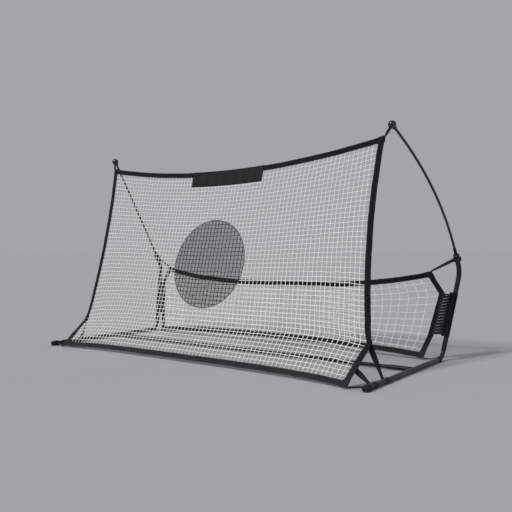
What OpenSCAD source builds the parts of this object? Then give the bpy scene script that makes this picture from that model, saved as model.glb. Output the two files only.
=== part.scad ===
// Two-sided rebounder for ball practice: a flat steel base, two bowed poles,
// a tall fine net at the front and a low coarse net at the back.
// X runs along the width, Y from front to back, Z up. Z = 0 is the ground.

/* [Base] */
// Distance between the centre lines of the two side tubes
base_w = 2100; // [1700:10:2500]
// Length of a side tube, from its front end to the rear corner
base_d = 870; // [800:10:950]
// Outer diameter of the side tubes and of their stubs
base_tube_d = 22; // [20:0.5:24]
// Wall of every steel tube
tube_wall = 1.5; // [1.2:0.1:1.8]
// Height of the side tubes' undersides over the ground
ground_gap = 3; // [3:0.5:6]
// Centre line radius of the bend at the rear corner
corner_bend_r = 48; // [44:1:60]
// Length of the spigot over the rear corner's bend
spigot_len = 68; // [60:1:80]
// Distance from the front end of the side tubes to the crossbar
crossbar_y = 500; // [400:10:600]
// Length of the welded stub that takes the crossbar, from the side tube's centre line
stub_len = 130; // [110:5:170]
// Length of each tube joint's inner part
joint_len = 55; // [45:1:65]
// Radial clearance of a tube that slides on another
slip_gap = 0.2; // [0.1:0.05:0.3]

/* [End caps] */
// Length of the rubber cap that covers a side tube's front end
cap_len = 28; // [22:1:34]
// Thickness of the cap's end
cap_floor = 4; // [3:0.5:6]
// Wall of the cap over the tube
cap_wall = 3.8; // [3.6:0.1:4.5]

/* [Uprights] */
// Length of the straight top of the upright
socket_len = 40; // [38:1:50]
// Distance from the bend's corner point to either end of the bend in the upright
upright_bend_run = 45; // [40:1:70]
// Outer diameter of the collar on the upright
collar_d = 32; // [29:0.5:36]
// Height of the collar over the upright's end
collar_h = 20; // [14:1:26]

/* [Poles] */
// Diameter of the fibreglass pole
pole_d = 12.5; // [11:0.5:13]
// Outer diameter of the ferrule on the pole's foot
ferrule_d = 16; // [15.5:0.5:17]
// Length of the ferrule that shows over the collar
ferrule_out = 35; // [30:1:50]
// Depth of the pole's foot in the ferrule
pole_seat = 36; // [28:1:40]
// How far out from the side tube the pole stands at the middle of its seat
root_out = 56; // [40:1:70]
// How far behind the rear corner the pole stands at the middle of its seat
root_back = 42; // [30:1:55]
// Height of the middle of the pole's seat
root_z = 566; // [540:1:600]
// How far in from the side tube the tip stands
tip_in = 76; // [50:1:100]
// Distance of the tip behind the front end of the side tubes
tip_y = 432; // [380:1:480]
// Height of the centre of the tip
tip_z = 1161; // [1120:1:1200]
// How far out the pole bows at its middle
bow_out = 32; // [20:1:45]
// How far back the pole bows at its middle
bow_back = 33; // [20:1:45]
// Diameter of the ball on the pole's tip
ball_d = 40; // [34:1:46]

/* [Snap buttons] */
// Diameter of a snap button
button_d = 6; // [5:0.5:7]
// Radial clearance of a snap button in its holes
button_gap = 0.5; // [0.4:0.1:0.8]
// How far a snap button stands out of the outer tube
button_out = 2.5; // [2:0.1:3]
// Distance from an outer tube's end to its button hole
button_inset = 15; // [12:1:20]
// Thickness of the leaf spring behind a button
leaf_t = 0.8; // [0.6:0.1:0.9]

/* [Front net] */
// How far in the net's outer edge lies at the front corners
front_foot_in = 87; // [70:1:110]
// How far in the net's outer edge lies at the knees
front_knee_in = 68; // [50:1:90]
// How far in the net's outer edge lies at the top corners
front_top_in = 98; // [80:1:120]
// How far the side edges draw in between knee and top
front_side_bow = 30; // [0:1:50]
// Height of the front corners' lower edge
front_foot_z = 9; // [8:1:16]
// Distance of the knees behind the front end of the side tubes
knee_y = 200; // [170:1:230]
// Height of the knees
knee_z = 160; // [130:1:190]
// Distance of the top corners behind the front end of the side tubes
front_top_y = 409; // [370:1:430]
// Height of the top corners
front_top_z = 1110; // [1080:1:1130]
// How far the top edge sags at its middle
front_sag = 87; // [40:1:120]
// How far the bottom edge bows back at its middle
front_foot_bow = 50; // [20:1:80]
// Radius of the bend at the knees
knee_r = 60; // [40:5:100]
// Radius of the bend at the net's middle
mid_knee_r = 260; // [150:10:300]
// Gaps of the front mesh along the width
front_gaps_x = 20; // [10:1:22]
// Gaps of the front mesh from bottom to top
front_gaps_z = 11; // [8:1:12]

/* [Webbing and cord] */
// Width of the webbing round both nets
border_w = 30; // [20:1:35]
// Thickness of the webbing round both nets
border_t = 3; // [2:0.5:4]
// Width of a mesh strand
strand_w = 5; // [3:0.5:7]
// Thickness of a mesh strand
strand_t = 2.4; // [2:0.2:3]
// Width of the straps at the knees
strap_w = 25; // [20:1:30]
// Thickness of the straps at the knees
strap_t = 2; // [1.5:0.1:2.6]
// Diameter of the elastic cord of the corner ties at the ground
tie_d = 5; // [4:0.5:6]
// Diameter of the elastic cord of the ties at the front net's top corners
top_tie_d = 8; // [6:0.5:9]
// Diameter of the elastic cord of the ties at the rear net's top corners
rear_tie_d = 8; // [6:0.5:9]
// Diameter of the elastic cord of the lacing
lace_d = 5; // [4:0.5:6]
// Clearance between two sewn or tied pieces
seam_gap = 0.3; // [0.2:0.1:0.4]

/* [Target and banner] */
// Diameter of the round target
target_d = 490; // [350:10:600]
// Offset of the target from the net's middle
target_x = -13; // [-100:1:100]
// Distance of the target's centre from the net's bottom edge, along the net
target_up = 539; // [480:1:600]
// Width of the banner under the top edge
banner_w = 505; // [300:5:800]
// Height of the banner
banner_h = 90; // [50:1:110]
// Offset of the banner from the net's middle
banner_x = 8; // [-60:1:60]
// Thickness of the target and of the banner
patch_t = 1.6; // [1:0.2:2.4]

/* [Rear net] */
// How far in the rear net's outer edge lies at its bottom corners
rear_foot_in = 88; // [80:1:110]
// How far in the rear net's outer edge lies at the lacing's lower end
rear_low_in = 47; // [40:1:60]
// How far in the rear net's outer edge lies at the lacing's upper end
rear_high_in = 4; // [0:1:12]
// How far in the rear net's outer edge lies at its top corners
rear_top_in = 77; // [60:1:100]
// Height of the rear net's bottom corners
rear_foot_z = 10; // [8:1:24]
// Height of the rear net's top corners
rear_top_z = 462; // [440:1:475]
// How far the rear net's bottom edge rises at its middle
rear_rise = 28; // [20:1:60]
// How far the rear net's top edge sags at its middle
rear_sag = 76; // [40:1:100]
// Gaps of the rear mesh along the width
rear_gaps_x = 16; // [10:1:18]
// Gaps of the rear mesh from bottom to top
rear_gaps_z = 5; // [3:1:5]
// Strands of elastic lacing on each side
lace_strands = 14; // [10:2:16]
// Width of the wing on the lacing sleeve
wing_w = 13; // [10:1:18]
// Thickness of the lacing sleeve
sleeve_t = 1.2; // [0.8:0.1:1.6]

/* [Hidden] */
$fn = 48;
black = [0.05, 0.05, 0.055];
steel_black = [0.08, 0.08, 0.09];
net_white = [0.92, 0.94, 0.9];

function unit(v) = v / norm(v);
function mix(a, b, t) = a + (b - a) * t;
function turn_of(a, b) = acos(a * b);
function across(v, dir) = v - (v * dir) * dir;

// Base: the right-hand side is built, and the left is its mirror image.
base_r = base_tube_d / 2;
base_z = base_r + ground_gap;
side_x = base_w / 2;
bore_r = base_r - tube_wall;
cross_r = bore_r - slip_gap;
cross_bore_r = cross_r - tube_wall;
swage_r = cross_bore_r - slip_gap;
swage_bore_r = swage_r - tube_wall;
cap_r = base_r + cap_wall;
cap_chamfer = 3;
corner = [side_x, base_d, base_z];
stub_mouth_x = side_x - stub_len;
swage_run = 2 * tube_wall;

// Pole: one arc, bowed out and back, through the middle of its seat and the tip.
root = [side_x + root_out, base_d + root_back, root_z];
tip = [side_x - tip_in, tip_y, tip_z];
chord = tip - root;
chord_dir = unit(chord);
bow = across([bow_out, bow_back, 0], chord_dir);
bow_dir = unit(bow);
pole_arc_r = norm(chord) * norm(chord) / (8 * norm(bow)) + norm(bow) / 2;
pole_half = asin(norm(chord) / (2 * pole_arc_r));
pole_dir = chord_dir * cos(pole_half) + bow_dir * sin(pole_half);
tip_dir = chord_dir * cos(pole_half) - bow_dir * sin(pole_half);
pole_centre = root + pole_arc_r * unit(across(tip_dir, pole_dir));
function pole_point(back) =
    pole_centre + pole_arc_r * (unit(tip - pole_centre) * cos(back) - tip_dir * sin(back));

// Upright: straight from the corner, one bend, then straight under the collar.
ferrule_top = root + pole_seat / 2 * pole_dir;
upright_top = ferrule_top - (ferrule_out + collar_h) * pole_dir;
upright_knee = upright_top - (socket_len + upright_bend_run) * pole_dir;
lean = unit(upright_knee - corner);
upright_turn = turn_of(lean, pole_dir);
upright_bend_r = upright_bend_run / tan(upright_turn / 2);
upright_bore_r = base_r + slip_gap;
upright_r = upright_bore_r + tube_wall;
corner_turn = turn_of([0, 1, 0], lean);
corner_run = corner_bend_r * tan(corner_turn / 2);
foot_clear = 2;
upright_foot = corner_run + foot_clear;
// How far the straight lengths of a tube run into its bend
lap = 0.5;
// How much less the radius of a tube is in its bend
bend_thinning = 0.03;
bend_start = norm(upright_knee - corner) - upright_bend_run;
upright_bend_in = unit(across(pole_dir, lean));
upright_bend_centre = corner + bend_start * lean + upright_bend_r * upright_bend_in;
bulge = upright_bend_r * norm([upright_bend_in[1], lean[1]]);
back_y = upright_bend_centre[1] + bulge + upright_r;
middle_y = (back_y - cap_floor) / 2;

// Collar, ferrule and ball
ferrule_r = ferrule_d / 2;
ferrule_gap = 0.15;
seat_gap = 0.05;
plug_short = 4;
collar_plug = socket_len - plug_short;
collar_lip = 2;
collar_chamfer = 5;
collar_foot_chamfer = 3;
pole_r = pole_d / 2;
ball_bore_gap = 0.4;
neck_wall = 4;
neck_out = 5;

// Buttons: each works in an inner tube and shows through the outer one.
button_r = button_d / 2;
hole_r = button_r + button_gap;
button_lip = 1.2;
button_flange_r = button_r + button_lip;
button_flange_t = 1;
button_dome = 1;
flange_gap = 0.1;
function flange_top(inner_bore_r) =
    sqrt(pow(inner_bore_r, 2) - pow(button_flange_r, 2)) - flange_gap;
upright_button_at = upright_foot + button_inset;
inward = unit(across([-1, 0, 0], lean));

// Cords and straps: how far the top tie sits below the tip, where the short strap is,
// and where each tie ends beside its net's corner
top_tie_back = 34;
short_strap_at = 0.42;
corner_off = [1, 0, 0.6];
foot_off = [1.2, 0, 0];
rear_foot_off = [0.5, 0, -1];

// Front net: each profile is a line, an arc and a line, from bottom to top.
// How a net's middle differs from its sides, at its foot, knee and top
mid_foot_rise = 6;
mid_knee_ahead = 28;
mid_knee_rise = 30;
mid_top_ahead = 9;
front_foot_y = 2;
front_mid_foot = [front_foot_bow, mid_foot_rise];
front_mid_knee = [-mid_knee_ahead, mid_knee_rise];
front_mid_top = [-mid_top_ahead, -front_sag];
function knee_weight(u) = pow(u, 4);
function front_foot(u) =
    [front_foot_y, front_foot_z] + front_mid_foot * (1 - knee_weight(u));
function front_knee(u) = [knee_y, knee_z] + front_mid_knee * (1 - knee_weight(u));
function front_top(u) =
    [front_top_y, front_top_z] + front_mid_top * (1 - u * u);
function front_bend_r(u) = mix(mid_knee_r, knee_r, knee_weight(u));
function front_dirs(u) =
    [unit(front_knee(u) - front_foot(u)), unit(front_top(u) - front_knee(u))];
function front_parts(u) =
    let (dirs = front_dirs(u), turn = turn_of(dirs[0], dirs[1]))
    let (run = front_bend_r(u) * tan(turn / 2))
    [norm(front_knee(u) - front_foot(u)) - run,
     front_bend_r(u) * turn * PI / 180,
     norm(front_top(u) - front_knee(u)) - run];
function total(parts) = parts[0] + parts[1] + parts[2];
function front_len(u) = total(front_parts(u));
function left_of(dir) = [-dir[1], dir[0]];
function arc_step(dir, r, a) = r * (dir * sin(a) + left_of(dir) * (1 - cos(a)));
function front_profile(u, v) =
    let (parts = front_parts(u), dirs = front_dirs(u), s = v * total(parts))
    let (r = front_bend_r(u), start = front_foot(u) + dirs[0] * parts[0])
    s < parts[0] ? front_foot(u) + dirs[0] * s :
    s < parts[0] + parts[1] ? start + arc_step(dirs[0], r, (s - parts[0]) / r * 180 / PI) :
    front_top(u) - dirs[1] * (total(parts) - s);
knee_v = (front_parts(1)[0] + front_parts(1)[1] / 2) / front_len(1);
function front_in(v) =
    let (up = (v - knee_v) / (1 - knee_v))
    v < knee_v ? mix(front_foot_in, front_knee_in, v / knee_v) :
    mix(front_knee_in, front_top_in, up) + 4 * front_side_bow * up * (1 - up);
function front_half(v) = side_x - front_in(v);
function front_point(u, v) =
    let (p = front_profile(u, v))
    [u * front_half(v), p[0], p[1]];

// Rear net: its side edges run straight between four points, and its middle is straight.
lace_from_foot = 75;
lace_to_bend = 72;
lace_reach = 20;
rear_foot_ahead = 36;
rear_top_behind = 54;
lace_low = upright_foot + lace_from_foot;
lace_high = bend_start - lace_to_bend;
function axis_point(s) = corner + s * lean;
rear_foot_y = base_d - rear_foot_ahead;
rear_top_y = base_d + rear_top_behind;
rear_low = [rear_low_in, axis_point(lace_low)[1] - lace_reach, axis_point(lace_low)[2]];
rear_high = [rear_high_in, axis_point(lace_high)[1] - lace_reach, axis_point(lace_high)[2]];
rear_edge = [
    [rear_foot_in, rear_foot_y, rear_foot_z],
    rear_low,
    rear_high,
    [rear_top_in, rear_top_y, rear_top_z]
];
rear_low_v = norm(rear_edge[1] - rear_edge[0]) / rear_edge_len();
rear_high_v = 1 - norm(rear_edge[3] - rear_edge[2]) / rear_edge_len();
function rear_edge_len() =
    norm(rear_edge[1] - rear_edge[0]) + norm(rear_edge[2] - rear_edge[1])
    + norm(rear_edge[3] - rear_edge[2]);
function rear_side(v) =
    v < rear_low_v ? mix(rear_edge[0], rear_edge[1], v / rear_low_v) :
    v < rear_high_v ?
        mix(rear_edge[1], rear_edge[2], (v - rear_low_v) / (rear_high_v - rear_low_v)) :
    mix(rear_edge[2], rear_edge[3], (v - rear_high_v) / (1 - rear_high_v));
rear_mid_back = 4;
rear_mid_ahead = 19;
rear_sweep = 2.8;
rear_mid_foot = [rear_foot_y + rear_mid_back, rear_foot_z + rear_rise];
rear_mid_top = [rear_top_y - rear_mid_ahead, rear_top_z - rear_sag];
function rear_point(u, v) =
    let (side = rear_side(v), middle = mix(rear_mid_foot, rear_mid_top, v))
    let (weight = pow(abs(u), rear_sweep))
    [u * (side_x - side[0]), mix(middle[0], side[1], weight), mix(middle[1], side[2], weight)];
function rear_half(v) = side_x - rear_side(v)[0];
function rear_len(u) = mix(norm(rear_mid_top - rear_mid_foot), rear_edge_len(), pow(u, 4));

// Places its children with their X and Y axes along ex and ey.
module place(origin, ex, ey) {
    ez = cross(ex, ey);
    multmatrix([
        [ex[0], ey[0], ez[0], origin[0]],
        [ex[1], ey[1], ez[1], origin[1]],
        [ex[2], ey[2], ez[2], origin[2]],
        [0, 0, 0, 1]
    ])
        children();
}

// Places its children with their Z axis along dir and their X axis towards side.
module aim(origin, dir, side = [0, 0, 1]) {
    ex = unit(across(side, dir));
    place(origin, ex, cross(dir, ex))
        children();
}

// A straight bar between two points.
module bar(from, to, r) {
    aim(from, unit(to - from), [0.3, 0.2, 1])
        cylinder(r = r, h = norm(to - from));
}

// A bar of round section that turns from direction d0 to direction d1.
module bend(from, d0, d1, bend_r, r) {
    side = unit(across(d1, d0));
    place(from + bend_r * side, -side, d0)
        rotate_extrude(angle = turn_of(d0, d1), $fn = 96)
            translate([bend_r, 0])
                circle(r = r);
}

// A bar with one bend, which starts at from and is a little thinner.
module bent_bar(from, d0, d1, before, bend_r, after, r) {
    side = unit(across(d1, d0));
    turn = turn_of(d0, d1);
    end = from + bend_r * (side * (1 - cos(turn)) + d0 * sin(turn));
    bar(from - before * d0, from + lap * d0, r);
    bend(from, d0, d1, bend_r, r - bend_thinning);
    bar(end - lap * d1, end + after * d1, r);
}

// A ring of round cord about an axis.
module cord_ring(centre, axis, hole_radius, cord_r) {
    aim(centre, axis, [0.3, 1, 0.2])
        rotate_extrude()
            translate([hole_radius + cord_r, 0])
                circle(r = cord_r, $fn = 24);
}

// A loop of cord about a tube, with its tail running to a point.
module tie(centre, axis, tube_r, to, cord_r) {
    hole_radius = tube_r + slip_gap;
    out = unit(across(to - centre, axis));
    start = centre + out * (hole_radius + cord_r);
    union() {
        cord_ring(centre, axis, hole_radius, cord_r);
        bar(start, to - unit(to - start) * seam_gap, cord_r);
    }
}

// A thick sheet over a grid of points. Cells that are not solid stay open.
module sheet(point, us, vs, t, solid = function(i, j) true) {
    nu = len(us);
    nv = len(vs);
    step = 0.001;
    along_u = function(u, v) point(min(u + step, 1), v) - point(max(u - step, -1), v);
    along_v = function(u, v) point(u, min(v + step, 1)) - point(u, max(v - step, 0));
    front = function(u, v) unit(cross(along_u(u, v), along_v(u, v)));
    grid = [for (v = vs) for (u = us) [point(u, v), front(u, v) * t / 2]];
    count = nu * nv;
    at = function(i, j) j * nu + i;
    full = function(i, j)
        i >= 0 && j >= 0 && i < nu - 1 && j < nv - 1 && solid(i, j);
    skin = [
        for (j = [0:nv - 2]) for (i = [0:nu - 2]) if (full(i, j))
            let (a = at(i, j), b = at(i + 1, j), c = at(i + 1, j + 1), d = at(i, j + 1))
            each [[a, c, b], [a, d, c],
                  [a + count, b + count, c + count], [a + count, c + count, d + count]]
    ];
    walls = [
        for (j = [0:nv - 2]) for (i = [0:nu - 2]) if (full(i, j))
            let (a = at(i, j), b = at(i + 1, j), c = at(i + 1, j + 1), d = at(i, j + 1))
            each concat(
                full(i, j - 1) ? [] : wall(a, b, count),
                full(i + 1, j) ? [] : wall(b, c, count),
                full(i, j + 1) ? [] : wall(c, d, count),
                full(i - 1, j) ? [] : wall(d, a, count))
    ];
    polyhedron(
        points = concat([for (g = grid) g[0] + g[1]], [for (g = grid) g[0] - g[1]]),
        faces = concat(skin, walls),
        convexity = 8);
}
function wall(a, b, count) = [[a, b, b + count], [a, b + count, a + count]];
function steps(from, to, n) = [for (i = [0:n]) mix(from, to, i / n)];

// The two edges of every strand across a net, with each gap cut in a number of cells.
function strand_lines(from, to, gaps, half, cells) =
    [for (i = [0:gaps - 1])
        let (a = mix(from, to, i / gaps) + (i == 0 ? 0 : half))
        let (b = mix(from, to, (i + 1) / gaps) - (i == gaps - 1 ? 0 : half))
        each steps(a, b, cells)];

// A square mesh. In each row of cells, a strand follows the cells of a gap.
module mesh(point, u_half, gaps_x, gaps_z, width, height, rows) {
    us = strand_lines(-u_half, u_half, gaps_x, strand_w / width, 1);
    vs = strand_lines(0, 1, gaps_z, strand_w / height / 2, rows);
    sheet(point, us, vs, strand_t, function(i, j) i % 2 == 1 || j % (rows + 1) == rows);
}

// A cord of six sides swept along a line of points.
module swept_cord(path, r, side) {
    n = len(path);
    sides = 6;
    dir = function(i) unit(path[min(i + 1, n - 1)] - path[max(i - 1, 0)]);
    ring = function(i)
        let (ex = unit(across(side, dir(i))), ey = cross(dir(i), ex))
        [for (k = [0:sides - 1])
            path[i] + r * (ex * cos(360 * k / sides) + ey * sin(360 * k / sides))];
    polyhedron(
        points = [for (i = [0:n - 1]) each ring(i)],
        faces = concat(
            [[for (k = [0:sides - 1]) k]],
            [for (i = [0:n - 2]) for (k = [0:sides - 1])
                let (a = i * sides + k, b = i * sides + (k + 1) % sides)
                each [[a, a + sides, b], [b, a + sides, b + sides]]],
            [[for (k = [sides - 1:-1:0]) (n - 1) * sides + k]]),
        convexity = 8);
}

module mirrored(left) {
    if (left)
        mirror([1, 0, 0])
            children();
    else
        children();
}

// The run of the base side: side tube, corner bend and spigot, as a bar of radius r.
module side_run(r, over = 0) {
    bent_bar([side_x, base_d - corner_run, base_z], [0, 1, 0], lean,
        base_d - corner_run + over, corner_bend_r, spigot_len + over, r);
}

// One bent tube with a welded stub for the crossbar.
module base_side(left) {
    mirrored(left)
        color(steel_black)
            difference() {
                union() {
                    side_run(base_r);
                    bar([side_x, crossbar_y, base_z], [stub_mouth_x, crossbar_y, base_z], base_r);
                }
                side_run(bore_r, 1);
                bar([side_x - base_r - 1, crossbar_y, base_z],
                    [stub_mouth_x - 1, crossbar_y, base_z], bore_r);
                translate([stub_mouth_x + button_inset, crossbar_y, base_z])
                    cylinder(r = hole_r, h = base_tube_d);
                bar(axis_point(upright_button_at),
                    axis_point(upright_button_at) + inward * base_tube_d, hole_r);
            }
}

// A rubber cup over the tube's end, cut flat underneath.
module base_cap(left) {
    mirrored(left)
        color(black)
            difference() {
                translate([side_x, -cap_floor, base_z])
                    rotate([-90, 0, 0])
                        rotate_extrude()
                            difference() {
                                square([cap_r, cap_floor + cap_len]);
                                translate([0, cap_floor])
                                    square([base_r + slip_gap, cap_len + 1]);
                                translate([cap_r, 0])
                                    rotate(45)
                                        square(cap_chamfer, center = true);
                            }
                translate([side_x - 2 * cap_r, -2 * cap_floor, -cap_r])
                    cube([4 * cap_r, cap_len + 4 * cap_floor, cap_r]);
            }
}

// The two halves of the crossbar. The right one has a narrowed end for the joint.
module cross_tube_left() {
    color(steel_black)
        difference() {
            bar([-stub_mouth_x - joint_len, crossbar_y, base_z], [0, crossbar_y, base_z], cross_r);
            bar([-side_x, crossbar_y, base_z], [1, crossbar_y, base_z], cross_bore_r);
            translate([-stub_mouth_x - button_inset, crossbar_y, base_z])
                cylinder(r = hole_r, h = base_tube_d);
            translate([-button_inset, crossbar_y, base_z])
                cylinder(r = hole_r, h = base_tube_d);
        }
}

module cross_tube_right() {
    color(steel_black)
        difference() {
            union() {
                bar([0, crossbar_y, base_z], [stub_mouth_x + joint_len, crossbar_y, base_z], cross_r);
                bar([-joint_len, crossbar_y, base_z], [1, crossbar_y, base_z], swage_r);
            }
            bar([swage_run, crossbar_y, base_z], [side_x, crossbar_y, base_z], cross_bore_r);
            bar([-side_x, crossbar_y, base_z], [swage_run + 1, crossbar_y, base_z], swage_bore_r);
            translate([stub_mouth_x + button_inset, crossbar_y, base_z])
                cylinder(r = hole_r, h = base_tube_d);
            translate([-button_inset, crossbar_y, base_z])
                cylinder(r = hole_r, h = base_tube_d);
        }
}

// The run of the upright as a bar of radius r.
module upright_run(r, over = 0) {
    bent_bar(axis_point(bend_start), lean, pole_dir,
        bend_start - upright_foot + over, upright_bend_r, socket_len + over, r);
}

module upright(left) {
    mirrored(left)
        color(steel_black)
            difference() {
                upright_run(upright_r);
                upright_run(upright_bore_r, 1);
                bar(axis_point(upright_button_at),
                    axis_point(upright_button_at) + inward * base_tube_d, hole_r);
            }
}

// A moulded collar: a head over the upright's end and a plug inside it.
module collar(left) {
    mirrored(left)
        color(black)
            aim(upright_top + seat_gap * pole_dir, pole_dir)
                rotate_extrude()
                    difference() {
                        union() {
                            translate([0, -collar_plug])
                                square([upright_bore_r - slip_gap, collar_plug + 1]);
                            square([collar_d / 2, collar_h]);
                        }
                        translate([0, collar_lip - collar_plug])
                            square([ferrule_r + ferrule_gap, collar_plug + collar_h]);
                        translate([collar_d / 2, collar_h])
                            rotate(45)
                                square(collar_chamfer, center = true);
                        translate([collar_d / 2, 0])
                            rotate(45)
                                square(collar_foot_chamfer, center = true);
                    }
}

// A turned steel ferrule, bored from its top for the foot of the pole.
module pole_ferrule(left) {
    ferrule_len = ferrule_out + collar_h + collar_plug - collar_lip - 2 * seat_gap;
    mirrored(left)
        color([0.16, 0.16, 0.17])
            aim(ferrule_top, pole_dir)
                difference() {
                    translate([0, 0, -ferrule_len])
                        cylinder(r = ferrule_r, h = ferrule_len);
                    translate([0, 0, -pole_seat - 3 * seat_gap])
                        cylinder(r = pole_r + ferrule_gap, h = pole_seat + 1);
                }
}

// A fibreglass rod, bent to one arc by the pull of the nets.
module pole(left) {
    foot_turn = pole_seat / 2 / pole_arc_r * 180 / PI;
    radial = unit(root - pole_centre);
    foot_dir = pole_dir * cos(foot_turn) + radial * sin(foot_turn);
    foot = pole_point(2 * pole_half + foot_turn);
    mirrored(left)
        color(black)
            bend(foot, foot_dir, tip_dir, pole_arc_r, pole_r);
}

// A ball with a short neck, bored for the pole's end.
module ball_tip(left) {
    neck_r = pole_r + neck_wall;
    neck_h = ball_d / 2 + neck_out;
    mirrored(left)
        color(black)
            aim(tip, tip_dir)
                difference() {
                    union() {
                        sphere(r = ball_d / 2);
                        translate([0, 0, -neck_h])
                            cylinder(r = neck_r, h = neck_h);
                    }
                    translate([0, 0, -neck_h - 1])
                        cylinder(r = pole_r + ball_bore_gap, h = neck_h + 1 + seat_gap);
                }
}

// A button with a domed top and a flange that stays inside the inner tube.
// Its Z axis points out of the tube, from the tube's centre line.
module snap_button(outer_r, inner_bore_r) {
    top = outer_r + button_out;
    flange = flange_top(inner_bore_r);
    color([0.75, 0.75, 0.77])
        rotate_extrude()
            union() {
                translate([0, flange - button_flange_t])
                    square([button_flange_r, button_flange_t]);
                translate([0, flange - button_flange_t])
                    square([button_r, top - button_dome - flange + button_flange_t]);
                intersection() {
                    translate([0, top - button_r])
                        circle(r = button_r);
                    translate([0, flange])
                        square([button_r, top]);
                }
            }
}

// A folded leaf: one leg under the button, the other on the tube's far wall.
// Its X axis runs along the tube.
module leaf_spring(inner_bore_r) {
    leaf_w = 5;
    leaf_len = 26;
    pad = 5;
    upper = flange_top(inner_bore_r) - button_flange_t - flange_gap;
    lower = -sqrt(pow(inner_bore_r, 2) - pow(leaf_w / 2, 2)) + flange_gap;
    fold = lower + 2 * leaf_t;
    color([0.6, 0.62, 0.65])
        rotate([90, 0, 0])
            linear_extrude(leaf_w, center = true)
                polygon([
                    [-pad, upper], [pad, upper], [leaf_len, fold + leaf_t], [leaf_len, lower],
                    [-pad, lower], [-pad, lower + leaf_t], [leaf_len - leaf_t, lower + leaf_t],
                    [leaf_len - leaf_t, fold], [pad, upper - leaf_t], [-pad, upper - leaf_t]
                ]);
}

module at_stub_button(left) {
    mirrored(left)
        translate([stub_mouth_x + button_inset, crossbar_y, base_z])
            children();
}

module at_centre_button() {
    translate([-button_inset, crossbar_y, base_z])
        children();
}

module at_upright_button(left) {
    mirrored(left)
        aim(axis_point(upright_button_at), inward, lean)
            children();
}

// The front net's webbing and mesh share these lines.
front_border_u = function(v) border_w / front_half(v);
front_border_v = function(u) border_w / front_len(u);
front_row = function(s, v) front_point(s * (1 - front_border_u(v)), v);
seam_u = seam_gap / side_x;

module front_mesh() {
    inner = function(s, t)
        let (edge = front_border_v(s) + seam_gap / front_len(s))
        front_row(s, mix(edge, 1 - edge, t));
    color(net_white)
        mesh(inner, 1 - seam_u, front_gaps_x, front_gaps_z, base_w, front_len(1), 2);
}

module front_border_side(left) {
    strip = function(s, v) front_point(1 - front_border_u(v) * (1 - s), v);
    apron = steps(0, front_parts(1)[0] / front_len(1), 3);
    knee_end = (front_parts(1)[0] + front_parts(1)[1]) / front_len(1);
    arc = steps(apron[3], knee_end, 4);
    face = steps(knee_end, 1, 14);
    vs = concat(apron, [for (i = [1:4]) arc[i]], [for (i = [1:14]) face[i]]);
    mirrored(left)
        color(black)
            sheet(strip, [0, 1], vs, border_t);
}

module front_border_top() {
    strip = function(s, t) front_row(s, 1 - front_border_v(s) * (1 - t));
    color(black)
        sheet(strip, steps(-1 + seam_u, 1 - seam_u, 24), [0, 1], border_t);
}

module front_border_bottom() {
    strip = function(s, t) front_row(s, front_border_v(s) * t);
    color(black)
        sheet(strip, steps(-1 + seam_u, 1 - seam_u, 24), [0, 1], border_t);
}

// Points in front of the net, at a distance from its middle surface.
function in_front(u, v, off) =
    let (step = 0.002)
    let (du = front_point(u + step, v) - front_point(u - step, v))
    let (dv = front_point(u, min(v + step, 1)) - front_point(u, v - step))
    front_point(u, v) + unit(cross(du, dv)) * off;

// A round patch: a square grid drawn into a circle.
module target_patch() {
    off = (strand_t + patch_t) / 2 + 2 * seam_gap;
    target_v = target_up / front_len(0);
    half = front_half(target_v);
    disc = function(x, y)
        let (v = target_v + (y * 2 - 1) * sqrt(1 - x * x / 2) * target_d / 2 / front_len(0))
        let (across_x = x * sqrt(1 - pow(y * 2 - 1, 2) / 2) * target_d / 2)
        in_front((target_x + across_x) / half, v, off);
    color([0.12, 0.12, 0.12])
        sheet(disc, steps(-1, 1, 12), steps(0, 1, 12), patch_t);
}

module banner() {
    off = (border_t + patch_t) / 2 + seam_gap;
    half = front_half(1);
    panel = function(s, t)
        let (u = (banner_x + s * banner_w / 2) / half)
        in_front(u, 1 - banner_h / front_len(0) * (1 - t), off);
    color(black)
        sheet(panel, steps(-1, 1, 8), steps(0, 1, 2), patch_t);
}

// An elastic loop on the pole under its ball, tied to the net's top corner.
module top_tie(left) {
    centre = pole_point(top_tie_back / pole_arc_r * 180 / PI);
    mirrored(left)
        color(black)
            tie(centre, unit(tip - centre), pole_r, front_point(1, 1) + corner_off,
                top_tie_d / 2);
}

// A webbing strap round the side tube that holds an edge point of the net.
module base_strap(left, edge) {
    ring_r = base_r + slip_gap;
    mid_r = ring_r + strap_t / 2;
    tail_t = strap_t - 6 * seat_gap;
    top = [edge[0] + strap_t / 2 + seam_gap - side_x, edge[2] - base_z];
    reach = sqrt(norm(top) * norm(top) - mid_r * mid_r);
    touch_angle = atan2(top[1], top[0]) + acos(mid_r / norm(top));
    touch = mid_r * [cos(touch_angle), sin(touch_angle)];
    mirrored(left)
        color(black)
            translate([side_x, edge[1], base_z])
                rotate([90, 0, 0])
                    linear_extrude(strap_w, center = true)
                        union() {
                            difference() {
                                circle(r = ring_r + strap_t);
                                circle(r = ring_r);
                            }
                            translate(touch)
                                rotate(atan2(top[1] - touch[1], top[0] - touch[0]))
                                    translate([0, -tail_t / 2])
                                        square([reach, tail_t]);
                        }
}

module knee_strap(left) {
    base_strap(left, front_point(1, knee_v));
}

module short_strap(left) {
    base_strap(left, front_point(1, knee_v * short_strap_at));
}

// Everything below the ground is squashed flat against it.
module over_ground() {
    difference() {
        children();
        translate([0, 0, -base_w / 2])
            cube([2 * base_w, 2 * base_w, base_w], center = true);
    }
}

// An elastic loop round the side tube, tied to the net's front corner.
module corner_tie(left) {
    centre = [side_x, cap_len + tie_d, base_z];
    mirrored(left)
        color(black)
            over_ground()
                tie(centre, [0, 1, 0], base_r, front_point(1, 0) + foot_off, tie_d / 2);
}

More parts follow.
